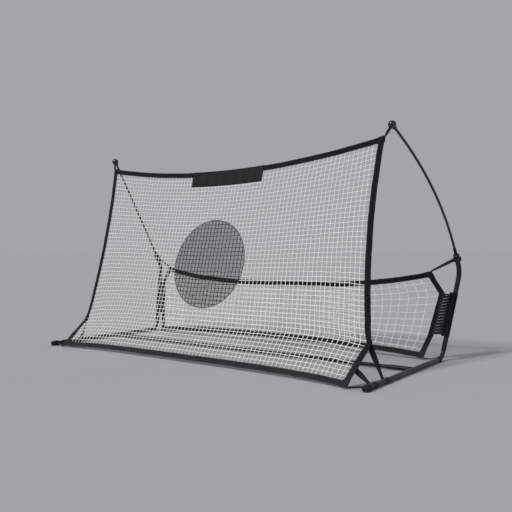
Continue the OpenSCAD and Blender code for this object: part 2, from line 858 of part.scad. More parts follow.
// The rear net's webbing and mesh share these lines.
rear_border_u = function(v) border_w / rear_half(v);
rear_border_v = function(u) border_w / rear_len(u);
rear_row = function(s, v) rear_point(s * (1 - rear_border_u(v)), v);

module rear_mesh() {
    inner = function(s, t)
        let (edge = rear_border_v(s) + seam_gap / rear_len(s))
        rear_row(s, mix(edge, 1 - edge, t));
    color(net_white)
        mesh(inner, 1 - seam_u, rear_gaps_x, rear_gaps_z, base_w, rear_len(1), 1);
}

module rear_border_side(left) {
    strip = function(s, v) rear_point(1 - rear_border_u(v) * (1 - s), v);
    lower = steps(0, rear_low_v, 2);
    laced = steps(rear_low_v, rear_high_v, 4);
    upper = steps(rear_high_v, 1, 2);
    vs = concat(lower, [for (i = [1:4]) laced[i]], [for (i = [1:2]) upper[i]]);
    mirrored(left)
        color(black)
            sheet(strip, [0, 1], vs, border_t);
}

module rear_border_top() {
    strip = function(s, t) rear_row(s, 1 - rear_border_v(s) * (1 - t));
    color(black)
        sheet(strip, steps(-1 + seam_u, 1 - seam_u, 24), [0, 1], border_t);
}

module rear_border_bottom() {
    strip = function(s, t) rear_row(s, rear_border_v(s) * t);
    color(black)
        sheet(strip, steps(-1 + seam_u, 1 - seam_u, 24), [0, 1], border_t);
}

module rear_top_tie(left) {
    mirrored(left)
        color(black)
            tie(upright_top - rear_tie_d * pole_dir, pole_dir, upright_r, rear_point(1, 1),
                rear_tie_d / 2);
}

module rear_foot_tie(left) {
    centre = [side_x, base_d - corner_run - tie_d, base_z];
    mirrored(left)
        color(black)
            over_ground()
                tie(centre, [0, 1, 0], base_r, rear_point(1, 0) + rear_foot_off, tie_d / 2);
}

// Lacing: a fabric sleeve on the upright carries one side of an elastic zigzag.
lace_middle = (rear_low_v + rear_high_v) / 2;
lace_centre = axis_point((lace_low + lace_high) / 2);
wing_dir = unit(across(rear_point(1, lace_middle) - lace_centre, lean));
sleeve_bore_r = upright_r + slip_gap;
wing_r = sleeve_bore_r + sleeve_t + wing_w;

module lacing_sleeve(left) {
    mirrored(left)
        color(black)
            place(axis_point(lace_low), wing_dir, cross(lean, wing_dir))
                linear_extrude(lace_high - lace_low)
                    difference() {
                        union() {
                            circle(r = sleeve_bore_r + sleeve_t);
                            translate([0, -sleeve_t])
                                square([wing_r, 2 * sleeve_t]);
                        }
                        circle(r = sleeve_bore_r);
                    }
}

// Each strand runs from the sleeve's wing to the net's edge and back.
module lacing(left) {
    r = lace_d / 2;
    clear = r + seam_gap;
    edge_slack = 0.6;
    edge_clear = clear + edge_slack;
    margin = 0.03;
    turn_in = 3;
    turn_rise = 2;
    rise = lean * turn_rise;
    wing_at = function(k)
        axis_point(mix(lace_low, lace_high, mix(margin, 1 - margin, k / (lace_strands - 1))))
        + wing_dir * (wing_r + clear);
    edge_at = function(k)
        rear_point(1, mix(rear_low_v, rear_high_v, mix(margin, 1 - margin, k / (lace_strands - 1))))
        - wing_dir * edge_clear;
    strand = function(k)
        let (a = wing_at(k), b = edge_at(k), dir = unit(b - a))
        k % 2 == 0 ?
            [a - rise, a + dir * turn_in, b - dir * turn_in, b + rise] :
            [b - rise, b - dir * turn_in, a + dir * turn_in, a + rise];
    path = [for (k = [0:lace_strands - 1]) each strand(k)];
    mirrored(left)
        color(black)
            swept_cord(path, r, cross(lean, wing_dir));
}

module placed() {
    translate([0, -middle_y, 0])
        children();
}

placed() base_side(true);  // base_side_left
placed() base_side(false);  // base_side_right
placed() base_cap(true);  // base_cap_left
placed() base_cap(false);  // base_cap_right
placed() cross_tube_left();
placed() cross_tube_right();
placed() upright(true);  // upright_left
placed() upright(false);  // upright_right
placed() collar(true);  // collar_left
placed() collar(false);  // collar_right
placed() pole_ferrule(true);  // pole_ferrule_left
placed() pole_ferrule(false);  // pole_ferrule_right
placed() pole(true);  // pole_left
placed() pole(false);  // pole_right
placed() ball_tip(true);  // ball_tip_left
placed() ball_tip(false);  // ball_tip_right
placed() at_stub_button(true) snap_button(base_r, cross_bore_r);  // stub_button_left
placed() at_stub_button(false) snap_button(base_r, cross_bore_r);  // stub_button_right
placed() at_centre_button() snap_button(cross_r, swage_bore_r);  // centre_button
placed() at_upright_button(true) snap_button(upright_r, bore_r);  // upright_button_left
placed() at_upright_button(false) snap_button(upright_r, bore_r);  // upright_button_right
placed() at_stub_button(true) leaf_spring(cross_bore_r);  // stub_spring_left
placed() at_stub_button(false) leaf_spring(cross_bore_r);  // stub_spring_right
placed() at_centre_button() leaf_spring(swage_bore_r);  // centre_spring
placed() at_upright_button(true) leaf_spring(bore_r);  // upright_spring_left
placed() at_upright_button(false) leaf_spring(bore_r);  // upright_spring_right
placed() front_mesh();
placed() front_border_top();
placed() front_border_bottom();
placed() front_border_side(true);  // front_border_left
placed() front_border_side(false);  // front_border_right
placed() target_patch();
placed() banner();
placed() top_tie(true);  // top_tie_left
placed() top_tie(false);  // top_tie_right
placed() knee_strap(true);  // knee_strap_left
placed() knee_strap(false);  // knee_strap_right
placed() short_strap(true);  // short_strap_left
placed() short_strap(false);  // short_strap_right
placed() corner_tie(true);  // corner_tie_left
placed() corner_tie(false);  // corner_tie_right
placed() rear_mesh();
placed() rear_border_top();
placed() rear_border_bottom();
placed() rear_border_side(true);  // rear_border_left
placed() rear_border_side(false);  // rear_border_right
placed() rear_top_tie(true);  // rear_top_tie_left
placed() rear_top_tie(false);  // rear_top_tie_right
placed() rear_foot_tie(true);  // rear_foot_tie_left
placed() rear_foot_tie(false);  // rear_foot_tie_right
placed() lacing_sleeve(true);  // lacing_sleeve_left
placed() lacing_sleeve(false);  // lacing_sleeve_right
placed() lacing(true);  // lacing_left
placed() lacing(false);  // lacing_right
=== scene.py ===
import math
import bpy
import bmesh
import numpy as np
from mathutils import Matrix, Vector


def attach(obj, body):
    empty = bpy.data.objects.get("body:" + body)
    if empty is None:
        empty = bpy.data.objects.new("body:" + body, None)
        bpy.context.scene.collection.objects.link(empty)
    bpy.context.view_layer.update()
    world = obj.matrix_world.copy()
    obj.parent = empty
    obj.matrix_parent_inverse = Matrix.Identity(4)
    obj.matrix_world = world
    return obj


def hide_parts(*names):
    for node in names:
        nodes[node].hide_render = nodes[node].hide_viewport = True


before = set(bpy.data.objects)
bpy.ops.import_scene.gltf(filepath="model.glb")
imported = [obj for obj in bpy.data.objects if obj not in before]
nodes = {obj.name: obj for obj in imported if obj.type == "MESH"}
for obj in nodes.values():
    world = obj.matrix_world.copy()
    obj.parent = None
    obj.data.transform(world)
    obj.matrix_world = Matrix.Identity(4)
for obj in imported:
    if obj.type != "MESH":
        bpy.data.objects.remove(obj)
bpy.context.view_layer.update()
bpy.ops.object.select_all(action="DESELECT")
print("frame loaded:", len(nodes), "nodes")

# the rig's own measures, in metres, as in the source
rig = {
    "sideX": 1.05,
    "depth": 0.87,
    "middleY": 0.488400,
    "tubeR": 0.011,
    "tubeZ": 0.014,
    "crossY": 0.50,
    "uprightR": 0.0127,
    "lean": (0.127547, 0.227336, 0.965428),
    "poleDir": (-0.025963, -0.520151, 0.85368),
    "tipDir": (-0.307865, -0.69377, 0.651077),
    "uprightTop": (1.10696, 0.931246, 0.534414),
    "tip": (0.974, 0.432, 1.161),
    "frontTieY": 0.033,
    "rearTieY": 0.829356,
}


def unit(v):
    v = np.asarray(v, float)
    return v / np.linalg.norm(v)


def unitRows(rows):
    return rows / np.linalg.norm(rows, axis=-1)[..., None]


def across(v, direction):
    return np.asarray(v, float) - np.dot(v, direction) * direction


def mix(a, b, t):
    return a + (b - a) * t


def tangents(path):
    return unitRows(np.gradient(path, axis=0))


def runLengths(points):
    return np.concatenate([[0], np.cumsum(np.linalg.norm(np.diff(points, axis=0), axis=1))])


def rowPoint(p):  # from the source's frame to the row frame
    return np.array([p[0], p[1] - rig["middleY"], p[2]])


def mirrored(points, left=True):
    points = np.array(points, float)
    if left:
        points[..., 0] *= -1
    return points


def mirroredPart(part, left=True):
    points, faces, uvs = part
    return (mirrored(points), [f[::-1] for f in faces], uvs) if left else part


sides = ((True, "Left"), (False, "Right"))
lean, poleDir, tipDir = unit(rig["lean"]), unit(rig["poleDir"]), unit(rig["tipDir"])
corner = np.array([rig["sideX"], rig["depth"], rig["tubeZ"]])

# camera
shot = {
    "place": (2.17846, -2.727376, 0.574678),
    "yaw": -0.642854,
    "pitch": -0.0086755,
    "roll": -0.0037414,
    "lens": 43.03,
    "sensor": 36,
    "far": 200,
}


def setCamera():
    turns = ((-shot["yaw"], "Z"), (math.pi / 2 + shot["pitch"], "X"), (shot["roll"], "Z"))
    camera = bpy.data.objects.new("camera", bpy.data.cameras.new("camera"))
    bpy.context.scene.collection.objects.link(camera)
    camera.matrix_world = Matrix.Translation(shot["place"])
    for angle, axis in turns:
        camera.matrix_world @= Matrix.Rotation(angle, 4, axis)
    camera.data.lens = shot["lens"]
    camera.data.sensor_width = shot["sensor"]
    camera.data.clip_end = shot["far"]
    bpy.context.scene.camera = camera


setCamera()
print("camera set")

# node groups and materials


def addNode(tree, kind, values=None, **settings):
    made = tree.nodes.new(kind)
    for key, value in settings.items():
        setattr(made, key, value)
    for key, value in (values or {}).items():
        if isinstance(value, bpy.types.NodeSocket):
            tree.links.new(value, made.inputs[key])
        else:
            made.inputs[key].default_value = value
    return made


def maths(tree, operation, a, b=0.0, clamp=False):
    return addNode(tree, "ShaderNodeMath", {0: a, 1: b}, operation=operation, use_clamp=clamp).outputs[0]


def noiseAt(tree, coords, scale, detail=3.0, roughness=0.5):
    values = {"Vector": coords, "Scale": scale, "Detail": detail, "Roughness": roughness}
    return addNode(tree, "ShaderNodeTexNoise", values).outputs[0]


def spread(tree, value, low, high, newLow, newHigh):
    values = {"Value": value, "From Min": low, "From Max": high, "To Min": newLow, "To Max": newHigh}
    return addNode(tree, "ShaderNodeMapRange", values).outputs[0]


def patchy(tree, coords, scale, low=0.0, high=1.0, detail=4.0):
    return spread(tree, noiseAt(tree, coords, scale, detail), 0.3, 0.7, low, high)


def wave(tree, value, period, shift=0.0):
    turned = maths(tree, "MULTIPLY", maths(tree, "DIVIDE", value, period), 2 * math.pi)
    return maths(tree, "SINE", maths(tree, "ADD", turned, shift))


def partsOf(tree, coords):
    return addNode(tree, "ShaderNodeSeparateXYZ", {0: coords}).outputs


def newGroup(name, values, outputs):
    tree = bpy.data.node_groups.new(name, "ShaderNodeTree")
    tree.interface.new_socket("Vector", in_out="INPUT", socket_type="NodeSocketVector")
    for label, value in values.items():
        socket = tree.interface.new_socket(label, in_out="INPUT", socket_type="NodeSocketFloat")
        socket.default_value = value
    for label in outputs:
        tree.interface.new_socket(label, in_out="OUTPUT", socket_type="NodeSocketFloat")
    return tree, tree.nodes.new("NodeGroupInput").outputs, tree.nodes.new("NodeGroupOutput").inputs


def makeWeaveGroup():
    # flat weave: ribs along the tape, with a pick across each rib, out of step with its neighbour
    tree, given, out = newGroup("tapeWeave", {"Rib": 0.0016, "Pick": 0.0011}, ["Height", "Fleck"])
    parts = partsOf(tree, given["Vector"])
    rib = wave(tree, parts[0], given["Rib"])
    side = maths(tree, "MULTIPLY", maths(tree, "SIGN", rib), math.pi / 2)
    pick = wave(tree, parts[1], given["Pick"], side)
    raised = maths(tree, "MULTIPLY", maths(tree, "ABSOLUTE", rib), 0.6)
    tree.links.new(maths(tree, "ADD", raised, maths(tree, "MULTIPLY", pick, 0.2)), out["Height"])
    tree.links.new(noiseAt(tree, given["Vector"], 240.0), out["Fleck"])
    return tree


def makeBraidGroup():
    # two families of yarn that wind round a cord in opposite directions
    tree, given, out = newGroup("braid", {"Pitch": 0.006, "Yarns": 3.0}, ["Height"])
    parts = partsOf(tree, given["Vector"])
    along = maths(tree, "DIVIDE", parts[1], given["Pitch"])
    around = maths(tree, "MULTIPLY", parts[0], given["Yarns"])
    one, two = (wave(tree, maths(tree, way, along, around), 1.0) for way in ("ADD", "SUBTRACT"))
    tree.links.new(maths(tree, "MAXIMUM", one, two), out["Height"])
    return tree


def makeDustGroup():
    # dry soil and grass dust: patchy, and stronger near the ground
    tree, given, out = newGroup("groundDust", {"Reach": 0.3}, ["Mask"])
    place = given["Vector"]
    low = maths(tree, "DIVIDE", partsOf(tree, place)[2], given["Reach"])
    low = maths(tree, "SUBTRACT", 1.0, low, clamp=True)
    big, fine = noiseAt(tree, place, 9.0, 5.0, 0.65), noiseAt(tree, place, 170.0)
    cloud = maths(tree, "MULTIPLY", maths(tree, "SUBTRACT", big, 0.4, clamp=True), 2.4)
    spots = maths(tree, "MULTIPLY", maths(tree, "SUBTRACT", fine, 0.42, clamp=True), 3.2)
    amount = maths(tree, "ADD", maths(tree, "MULTIPLY", low, 0.42), 0.06)
    cloud = maths(tree, "MULTIPLY", cloud, spots)
    tree.links.new(maths(tree, "MULTIPLY", cloud, amount, clamp=True), out["Mask"])
    return tree


groups = {"weave": makeWeaveGroup(), "braid": makeBraidGroup(), "dust": makeDustGroup()}


def useGroup(tree, name, values):
    return addNode(tree, "ShaderNodeGroup", values, node_tree=groups[name]).outputs


def dustMask(tree, place, reach):
    return useGroup(tree, "dust", {"Vector": place, "Reach": reach})["Mask"]


def blendColours(tree, factor, first, second):
    made = addNode(tree, "ShaderNodeMix", data_type="RGBA")
    for socket, value in zip((made.inputs[0], made.inputs[6], made.inputs[7]), (factor, first, second)):
        if isinstance(value, bpy.types.NodeSocket):
            tree.links.new(value, socket)
        else:
            socket.default_value = (*value, 1)
    return made.outputs[2]


def scaled(colour, factor):
    return tuple(c * factor for c in colour)


def newMaterial(name, roughness, metallic=0.0, **shaderValues):
    material = bpy.data.materials.new(name)
    material.use_nodes = True
    tree = material.node_tree
    inputs = tree.nodes["Principled BSDF"].inputs
    for key, value in dict(shaderValues, Metallic=metallic, Roughness=roughness).items():
        inputs[key.replace("_", " ")].default_value = value
    coords = addNode(tree, "ShaderNodeTexCoord").outputs
    return material, tree, coords["Object"], coords["UV"]


def finished(material, colour, rough=None, height=None, depth=0.0):
    tree = material.node_tree
    inputs = tree.nodes["Principled BSDF"].inputs
    tree.links.new(colour, inputs["Base Color"])
    if rough:
        tree.links.new(rough, inputs["Roughness"])
    if height:
        bump = addNode(tree, "ShaderNodeBump", {"Height": height, "Distance": depth, "Strength": 1.0})
        tree.links.new(bump.outputs[0], inputs["Normal"])
    return material


finishes = {
    "powder": (0.0050, 0.0054, 0.0070),
    "ferrule": (0.035, 0.035, 0.038),
    "spring": (0.66, 0.67, 0.69),
    "rubber": (0.0070, 0.0070, 0.0076),
    "nylon": (0.0080, 0.0080, 0.0092),
    "glassFibre": (0.010, 0.010, 0.012),
    "ball": (0.008, 0.008, 0.010),
    "twine": (0.93, 0.94, 0.90),
    "dyed": (0.055, 0.052, 0.047),
    "fineMesh": (0.040, 0.038, 0.035),
    "tape": (0.0040, 0.0046, 0.0062),
    "tapeWorn": (0.0130, 0.0150, 0.0185),
    # painted light: the lighter tape tone given to the flat-lying bottom borders, where light falls on them from
    # above
    "tapeFaded": (0.028, 0.033, 0.033),
    "elastic": (0.009, 0.0085, 0.012),
    # painted sheen: the lighter violet-grey that the elastic cord's raised yarns show where they catch the light
    "elasticLight": (0.060, 0.053, 0.080),
    "thread": (0.035, 0.038, 0.042),
    "panel": (0.0045, 0.0048, 0.0058),
    "dust": (0.16, 0.150, 0.115),
    "eyelet": (0.022, 0.022, 0.025),
}
dustReach = {"steel": 0.07, "rubber": 0.05, "nylon": 0.16, "twine": 0.22, "tape": 0.05}


def coatedSteel():
    material, tree, place, _ = newMaterial(
        "powderCoat", 0.36, Specular_IOR_Level=0.2, Coat_Weight=0.45, Coat_Roughness=0.12)
    dust = dustMask(tree, place, dustReach["steel"])
    base = blendColours(tree, patchy(tree, place, 14.0), finishes["powder"], scaled(finishes["powder"], 1.5))
    base = blendColours(tree, maths(tree, "MULTIPLY", dust, 0.18), base, finishes["dust"])
    dull = maths(tree, "MULTIPLY", dust, 0.4)
    rough = maths(tree, "ADD", patchy(tree, place, 30.0, 0.26, 0.42), dull, clamp=True)
    return finished(material, base, rough, noiseAt(tree, place, 620.0, 2.0), 0.00012)


def plainSolid(name, colour, roughness, grain, depth, reach=0.0, **shaderValues):
    material, tree, place, _ = newMaterial(name, roughness, **shaderValues)
    base = blendColours(tree, patchy(tree, place, 22.0), scaled(colour, 0.85), scaled(colour, 1.25))
    if reach:
        base = blendColours(tree, dustMask(tree, place, reach), base, finishes["dust"])
    rough = patchy(tree, place, 60.0, roughness * 0.85, min(1.0, roughness * 1.2), 3.0)
    return finished(material, base, rough, noiseAt(tree, place, grain), depth)


def rodMaterial():
    # pultruded glass fibre: faint streaks along the rod under a smooth skin
    material, tree, place, _ = newMaterial("glassFibreRod", 0.3, Coat_Weight=0.35, Coat_Roughness=0.18)
    turned = {"Vector": place, "Rotation": (0.72, 0.0, 0.42), "Scale": (900.0, 900.0, 14.0)}
    streak = noiseAt(tree, addNode(tree, "ShaderNodeMapping", turned).outputs[0], 1.0)
    fibre = finishes["glassFibre"]
    base = blendColours(tree, spread(tree, streak, 0.35, 0.7, 0.0, 1.0), fibre, scaled(fibre, 2.1))
    return finished(material, base, spread(tree, streak, 0.3, 0.7, 0.24, 0.38), streak, 0.00005)


def brushedMetal(name, colour, roughness):
    material, tree, place, _ = newMaterial(name, roughness, 1.0)
    stretch = addNode(tree, "ShaderNodeMapping", {"Vector": place, "Scale": (1500.0, 1500.0, 90.0)})
    lines = noiseAt(tree, stretch.outputs[0], 1.0, 2.0)
    rough = spread(tree, lines, 0.3, 0.7, roughness * 0.8, roughness * 1.3)
    return finished(material, blendColours(tree, lines, scaled(colour, 0.8), colour), rough, lines, 0.00003)


def twineMaterial(name, dyed=None):
    material, tree, place, uv = newMaterial(name, 0.72, Sheen_Weight=0.12, Sheen_Roughness=0.5)
    braid = useGroup(tree, "braid", {"Vector": uv, "Pitch": 0.0042, "Yarns": 2.0})["Height"]
    shade = spread(tree, braid, -0.4, 1.0, 0.84, 1.0)
    shade = maths(tree, "MULTIPLY", shade, patchy(tree, place, 5.0, 0.95, 1.0, 3.0))
    tint = addNode(tree, "ShaderNodeVectorMath", {0: finishes["twine"], "Scale": shade}, operation="SCALE")
    dust = dustMask(tree, place, dustReach["twine"])
    colour = blendColours(tree, dust, tint.outputs[0], scaled(finishes["dust"], 2.2))
    if dyed:
        # the strands behind the target are dyed dark, up to its edge
        centre, radius = dyed
        away = addNode(tree, "ShaderNodeVectorMath", {0: place, 1: centre}, operation="DISTANCE")
        inside = spread(tree, away.outputs["Value"], radius, radius + 0.002, 1.0, 0.0)
        colour = blendColours(tree, inside, colour, finishes["dyed"])
    return finished(material, colour, None, braid, 0.0004)


def tapeMaterial():
    material, tree, place, uv = newMaterial(
        "wovenTape", 0.78, Specular_IOR_Level=0.12, Sheen_Weight=0.02, Sheen_Roughness=0.45)
    weave = useGroup(tree, "weave", {"Vector": uv, "Rib": 0.0018, "Pick": 0.0012})
    height, fleck = weave["Height"], weave["Fleck"]
    faded = spread(tree, noiseAt(tree, place, 7.0, 4.0), 0.35, 0.75, 0.0, 0.55)
    faded = maths(tree, "MULTIPLY", faded, fleck)
    worn = maths(tree, "ADD", faded, spread(tree, height, 0.0, 0.8, 0.0, 0.25), clamp=True)
    # painted light: from 0.02 m up to 0.16 m high the tape is painted lighter, speckled by the fleck, as light
    # falling on the flat bottom borders
    low = spread(tree, partsOf(tree, place)[2], 0.02, 0.16, 0.75, 0.0)
    paintedLightLow = maths(tree, "MULTIPLY", low, spread(tree, fleck, 0.3, 0.7, 0.55, 1.0))
    colour = blendColours(tree, worn, finishes["tape"], finishes["tapeWorn"])
    colour = blendColours(tree, paintedLightLow, colour, finishes["tapeFaded"])
    colour = blendColours(tree, dustMask(tree, place, dustReach["tape"]), colour, finishes["dust"])
    return finished(material, colour, spread(tree, fleck, 0.3, 0.7, 0.66, 0.88), height, 0.00035)


def elasticMaterial():
    material, tree, place, uv = newMaterial(
        "elasticCord", 0.5, Specular_IOR_Level=0.35, Sheen_Weight=0.08, Sheen_Roughness=0.35)
    braid = useGroup(tree, "braid", {"Vector": uv, "Pitch": 0.0035, "Yarns": 4.0})["Height"]
    # painted sheen: the braid's raised yarns are painted lighter violet-grey, as highlights along the cord
    paintedSheen = spread(tree, braid, 0.35, 1.0, 0.0, 0.7)
    colour = blendColours(tree, paintedSheen, finishes["elastic"], finishes["elasticLight"])
    return finished(material, colour, patchy(tree, place, 90.0, 0.42, 0.6, 3.0), braid, 0.00035)


def threadMaterial():
    material, tree, place, _ = newMaterial("stitchThread", 0.6, Sheen_Weight=0.2)
    grain = noiseAt(tree, place, 900.0)
    colour = blendColours(tree, grain, scaled(finishes["thread"], 0.75), finishes["thread"])
    return finished(material, colour, None, grain, 0.00008)


def fineMeshMaterial():
    material, tree, place, _ = newMaterial("fineMesh", 0.75, Specular_IOR_Level=0.25, Alpha=0.5)
    cloth = finishes["fineMesh"]
    colour = blendColours(tree, patchy(tree, place, 11.0), scaled(cloth, 0.8), scaled(cloth, 1.3))
    return finished(material, colour, None, noiseAt(tree, place, 1400.0, 2.0), 0.0001)


def panelMaterial():
    material, tree, _, uv = newMaterial("coatedPanel", 0.6, Specular_IOR_Level=0.12)
    weave = useGroup(tree, "weave", {"Vector": uv, "Rib": 0.0012, "Pick": 0.0012})
    tone = maths(tree, "MULTIPLY", weave["Fleck"], weave["Height"])
    colour = blendColours(tree, tone, finishes["panel"], scaled(finishes["panel"], 2.0))
    rough = spread(tree, weave["Fleck"], 0.3, 0.7, 0.42, 0.58)
    return finished(material, colour, rough, weave["Height"], 0.00015)


# the nets' surfaces
frontNet = {
    "footIn": 0.087, "kneeIn": 0.068, "topIn": 0.098, "sideBow": 0.030,
    "foot": (0.002, 0.009), "knee": (0.200, 0.160), "top": (0.409, 1.110),
    "midFoot": (0.050, 0.006), "midKnee": (-0.028, 0.030), "midTop": (-0.009, -0.087),
    "kneeR": 0.060, "midKneeR": 0.260,
    "gapsAcross": 75, "rows": 45, "firstRow": 1 / 46, "rowGap": 1 / 46,
    "twineR": 0.00170, "knotR": 0.00235, "knotLength": 0.0034, "wobble": 0.0007, "mostWobble": 0.002,
}
rearNet = {
    "foot": (0.088, 0.834, 0.010), "low": (0.047, 0.876163, 0.125106),
    "high": (0.004, 0.928860, 0.348896), "top": (0.077, 0.924, 0.462),
    "midFoot": (0.838, 0.038), "midTop": (0.905, 0.386), "sweep": 2.8, "innerBow": 0.034,
    "gapsAcross": 43, "rows": 10, "firstRow": 0.0425, "rowGap": 0.0975,
    "twineR": 0.00210, "knotR": 0.00300, "knotLength": 0.0038, "wobble": 0.0012, "mostWobble": 0.002,
}
tape = {
    "width": 0.030, "thick": 0.003, "step": 0.011, "gather": 0.25, "gatherReach": 0.028,
    "endReach": 0.034, "endGrow": 0.42, "endRamp": 0.003, "calmReach": 0.05, "calm": 0.15,
    "seat": 0.0006, "seam": 0.0003,
}


def frontShape(u):
    # the cloth's line at one place across: foot, knee bend and top
    weight, net = u ** 4, frontNet
    foot = np.array(net["foot"]) + np.array(net["midFoot"]) * (1 - weight)
    knee = np.array(net["knee"]) + np.array(net["midKnee"]) * (1 - weight)
    top = np.array(net["top"]) + np.array(net["midTop"]) * (1 - u * u)
    d0, d1 = unit(knee - foot), unit(top - knee)
    turn = math.acos(np.dot(d0, d1))
    r = mix(net["midKneeR"], net["kneeR"], weight)
    run = r * math.tan(turn / 2)
    parts = (np.linalg.norm(knee - foot) - run, r * turn, np.linalg.norm(top - knee) - run)
    return foot, top, d0, d1, r, parts


def frontLength(u):
    return sum(frontShape(u)[5])


kneeV = (frontShape(1)[5][0] + frontShape(1)[5][1] / 2) / frontLength(1)
shortV = kneeV * 0.42


def frontHalf(v):
    net = frontNet
    if v < kneeV:
        return rig["sideX"] - mix(net["footIn"], net["kneeIn"], v / kneeV)
    up = (v - kneeV) / (1 - kneeV)
    return rig["sideX"] - mix(net["kneeIn"], net["topIn"], up) - 4 * net["sideBow"] * up * (1 - up)


def frontPoint(u, v):
    foot, top, d0, d1, r, parts = frontShape(u)
    s = v * sum(parts)
    if s < parts[0]:
        p = foot + d0 * s
    elif s < parts[0] + parts[1]:
        a = (s - parts[0]) / r
        bend = d0 * math.sin(a) + np.array([-d0[1], d0[0]]) * (1 - math.cos(a))
        p = foot + d0 * parts[0] + r * bend
    else:
        p = top - d1 * (sum(parts) - s)
    return np.array([u * frontHalf(v), p[0] - rig["middleY"], p[1]])


rearEdge = [np.array(rearNet[k]) for k in ("foot", "low", "high", "top")]
rearRuns = [np.linalg.norm(rearEdge[i + 1] - rearEdge[i]) for i in range(3)]
rearEdgeLength = sum(rearRuns)
rearLowV, rearHighV = rearRuns[0] / rearEdgeLength, 1 - rearRuns[2] / rearEdgeLength


def rearSide(v):
    stops = (0, rearLowV, rearHighV, 1)
    i = 0 if v < rearLowV else 1 if v < rearHighV else 2
    return mix(rearEdge[i], rearEdge[i + 1], (v - stops[i]) / (stops[i + 1] - stops[i]))


def rearHalf(v):
    return rig["sideX"] - rearSide(v)[0]


def rearPoint(u, v):
    side = rearSide(v)
    middle = mix(np.array(rearNet["midFoot"]), np.array(rearNet["midTop"]), v)
    weight = abs(u) ** rearNet["sweep"]
    # between the borders the strands bow out more evenly than the laced edges do
    reach = min(1, abs(u) / (1 - tape["width"] / rearHalf(v))) ** 4
    bowed = mix(rearEdge[0][0], rearEdge[3][0], v) - 4 * rearNet["innerBow"] * v * (1 - v)
    x = u * (rig["sideX"] - mix(bowed, side[0], reach))
    return rowPoint((x, mix(middle[0], side[1], weight), mix(middle[1], side[2], weight)))


def rearLength(u):
    middle = np.linalg.norm(np.array(rearNet["midTop"]) - np.array(rearNet["midFoot"]))
    return mix(middle, rearEdgeLength, u ** 4)


def edgeWidth(which, v):
    # the strap gathers the front net's side border at the knee
    if which == "rear":
        return tape["width"]
    return tape["width"] * (1 - tape["gather"] * math.exp(-((v - kneeV) / tape["gatherReach"]) ** 2))


surfaces = {"front": (frontPoint, frontHalf, frontLength), "rear": (rearPoint, rearHalf, rearLength)}


def onNet(which, s, t):  # a point of the mesh inside the borders, s from -1 to 1 and t from 0 to 1
    point, half, length = surfaces[which]
    edge = tape["width"] / length(s)
    v = mix(edge, 1 - edge, t)
    return point(s * (1 - edgeWidth(which, v) / half(v)), v)


def normalAt(point, u, v, step=0.002):
    du = point(min(u + step, 1), v) - point(max(u - step, -1), v)
    dv = point(u, min(v + step, 1)) - point(u, max(v - step, 0))
    return unit(np.cross(du, dv))


# mesh makers for cords, strands and tapes; a part is its points, faces and face corners' UV places


def facesOutward(mesh, change=None):
    shell = bmesh.new()
    shell.from_mesh(mesh)
    if change:
        change(shell)
    bmesh.ops.recalc_face_normals(shell, faces=shell.faces)
    shell.to_mesh(mesh)
    shell.free()


def newPiece(name, part, slot, replaces=None, left=False, smooth=True, material=None):
    points, faces, uvs = mirroredPart(part, left)
    mesh = bpy.data.meshes.new(name)
    mesh.from_pydata([tuple(v) for v in points], [], faces)
    layer = mesh.uv_layers.new(name="UVMap")
    layer.data.foreach_set("uv", np.asarray(uvs, np.float32).ravel())
    mesh.validate()
    facesOutward(mesh)
    if smooth:
        mesh.shade_smooth()
    piece = bpy.data.objects.new(name, mesh)
    bpy.context.scene.collection.objects.link(piece)
    mesh.materials.append(material or materials[slot])
    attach(piece, "frame")
    if replaces:
        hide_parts(replaces)
    return piece


def sweep(centres, firsts, seconds, sections, closed=False):
    # centres (R,3); firsts and seconds are the section's axes; sections (S,2) or (R,S,2) its outline
    rings, count = len(centres), np.shape(sections)[-2]
    sections = np.broadcast_to(sections, (rings, count, 2))
    firsts, seconds = (np.broadcast_to(axis, (rings, 3))[:, None] for axis in (firsts, seconds))
    points = centres[:, None] + firsts * sections[..., :1] + seconds * sections[..., 1:]
    lengths = runLengths(centres)
    girth = runLengths(np.concatenate([sections[0], sections[0][:1]]))
    faces, uvs = [], []
    for i in range(rings if closed else rings - 1):
        j = (i + 1) % rings
        v0 = lengths[i]
        v1 = lengths[i + 1] if j else lengths[i] + np.linalg.norm(centres[0] - centres[-1])
        for k in range(count):
            n = (k + 1) % count
            faces.append((i * count + k, i * count + n, j * count + n, j * count + k))
            uvs += [(girth[k], v0), (girth[k + 1], v0), (girth[k + 1], v1), (girth[k], v1)]
    if not closed:
        faces.append(tuple(range(count - 1, -1, -1)))
        faces.append(tuple((rings - 1) * count + k for k in range(count)))
        uvs += [(0, 0)] * count * 2
    return points.reshape(-1, 3), faces, uvs


def joined(parts):
    vertices, faces, uvs, count = [], [], [], 0
    for points, polygons, coords in parts:
        vertices.append(points)
        faces += [tuple(i + count for i in f) for f in polygons]
        uvs += coords
        count += len(points)
    return np.concatenate(vertices), faces, uvs


def smoothed(points, rounds=3):
    # rounds off the corners of a path
    points = np.asarray(points, float)
    for _ in range(rounds):
        now, ahead = points[:-1], points[1:]
        cut = np.stack([now * 0.75 + ahead * 0.25, now * 0.25 + ahead * 0.75], axis=1).reshape(-1, 3)
        points = np.concatenate([points[:1], cut, points[-1:]])
    return points


def roundSection(radius, count):
    angles = np.arange(count) * 2 * math.pi / count
    return np.stack([np.cos(angles), np.sin(angles)], axis=1) * radius


def roundPart(path, firsts, seconds, radii, count, turn, closed=False):
    # a round cord whose UV goes once round per unit
    sections = roundSection(1.0, count)[None] * radii[:, None, None]
    points, faces, uvs = sweep(path, firsts, seconds, sections, closed)
    return points, faces, [(u / turn, v) for u, v in uvs]


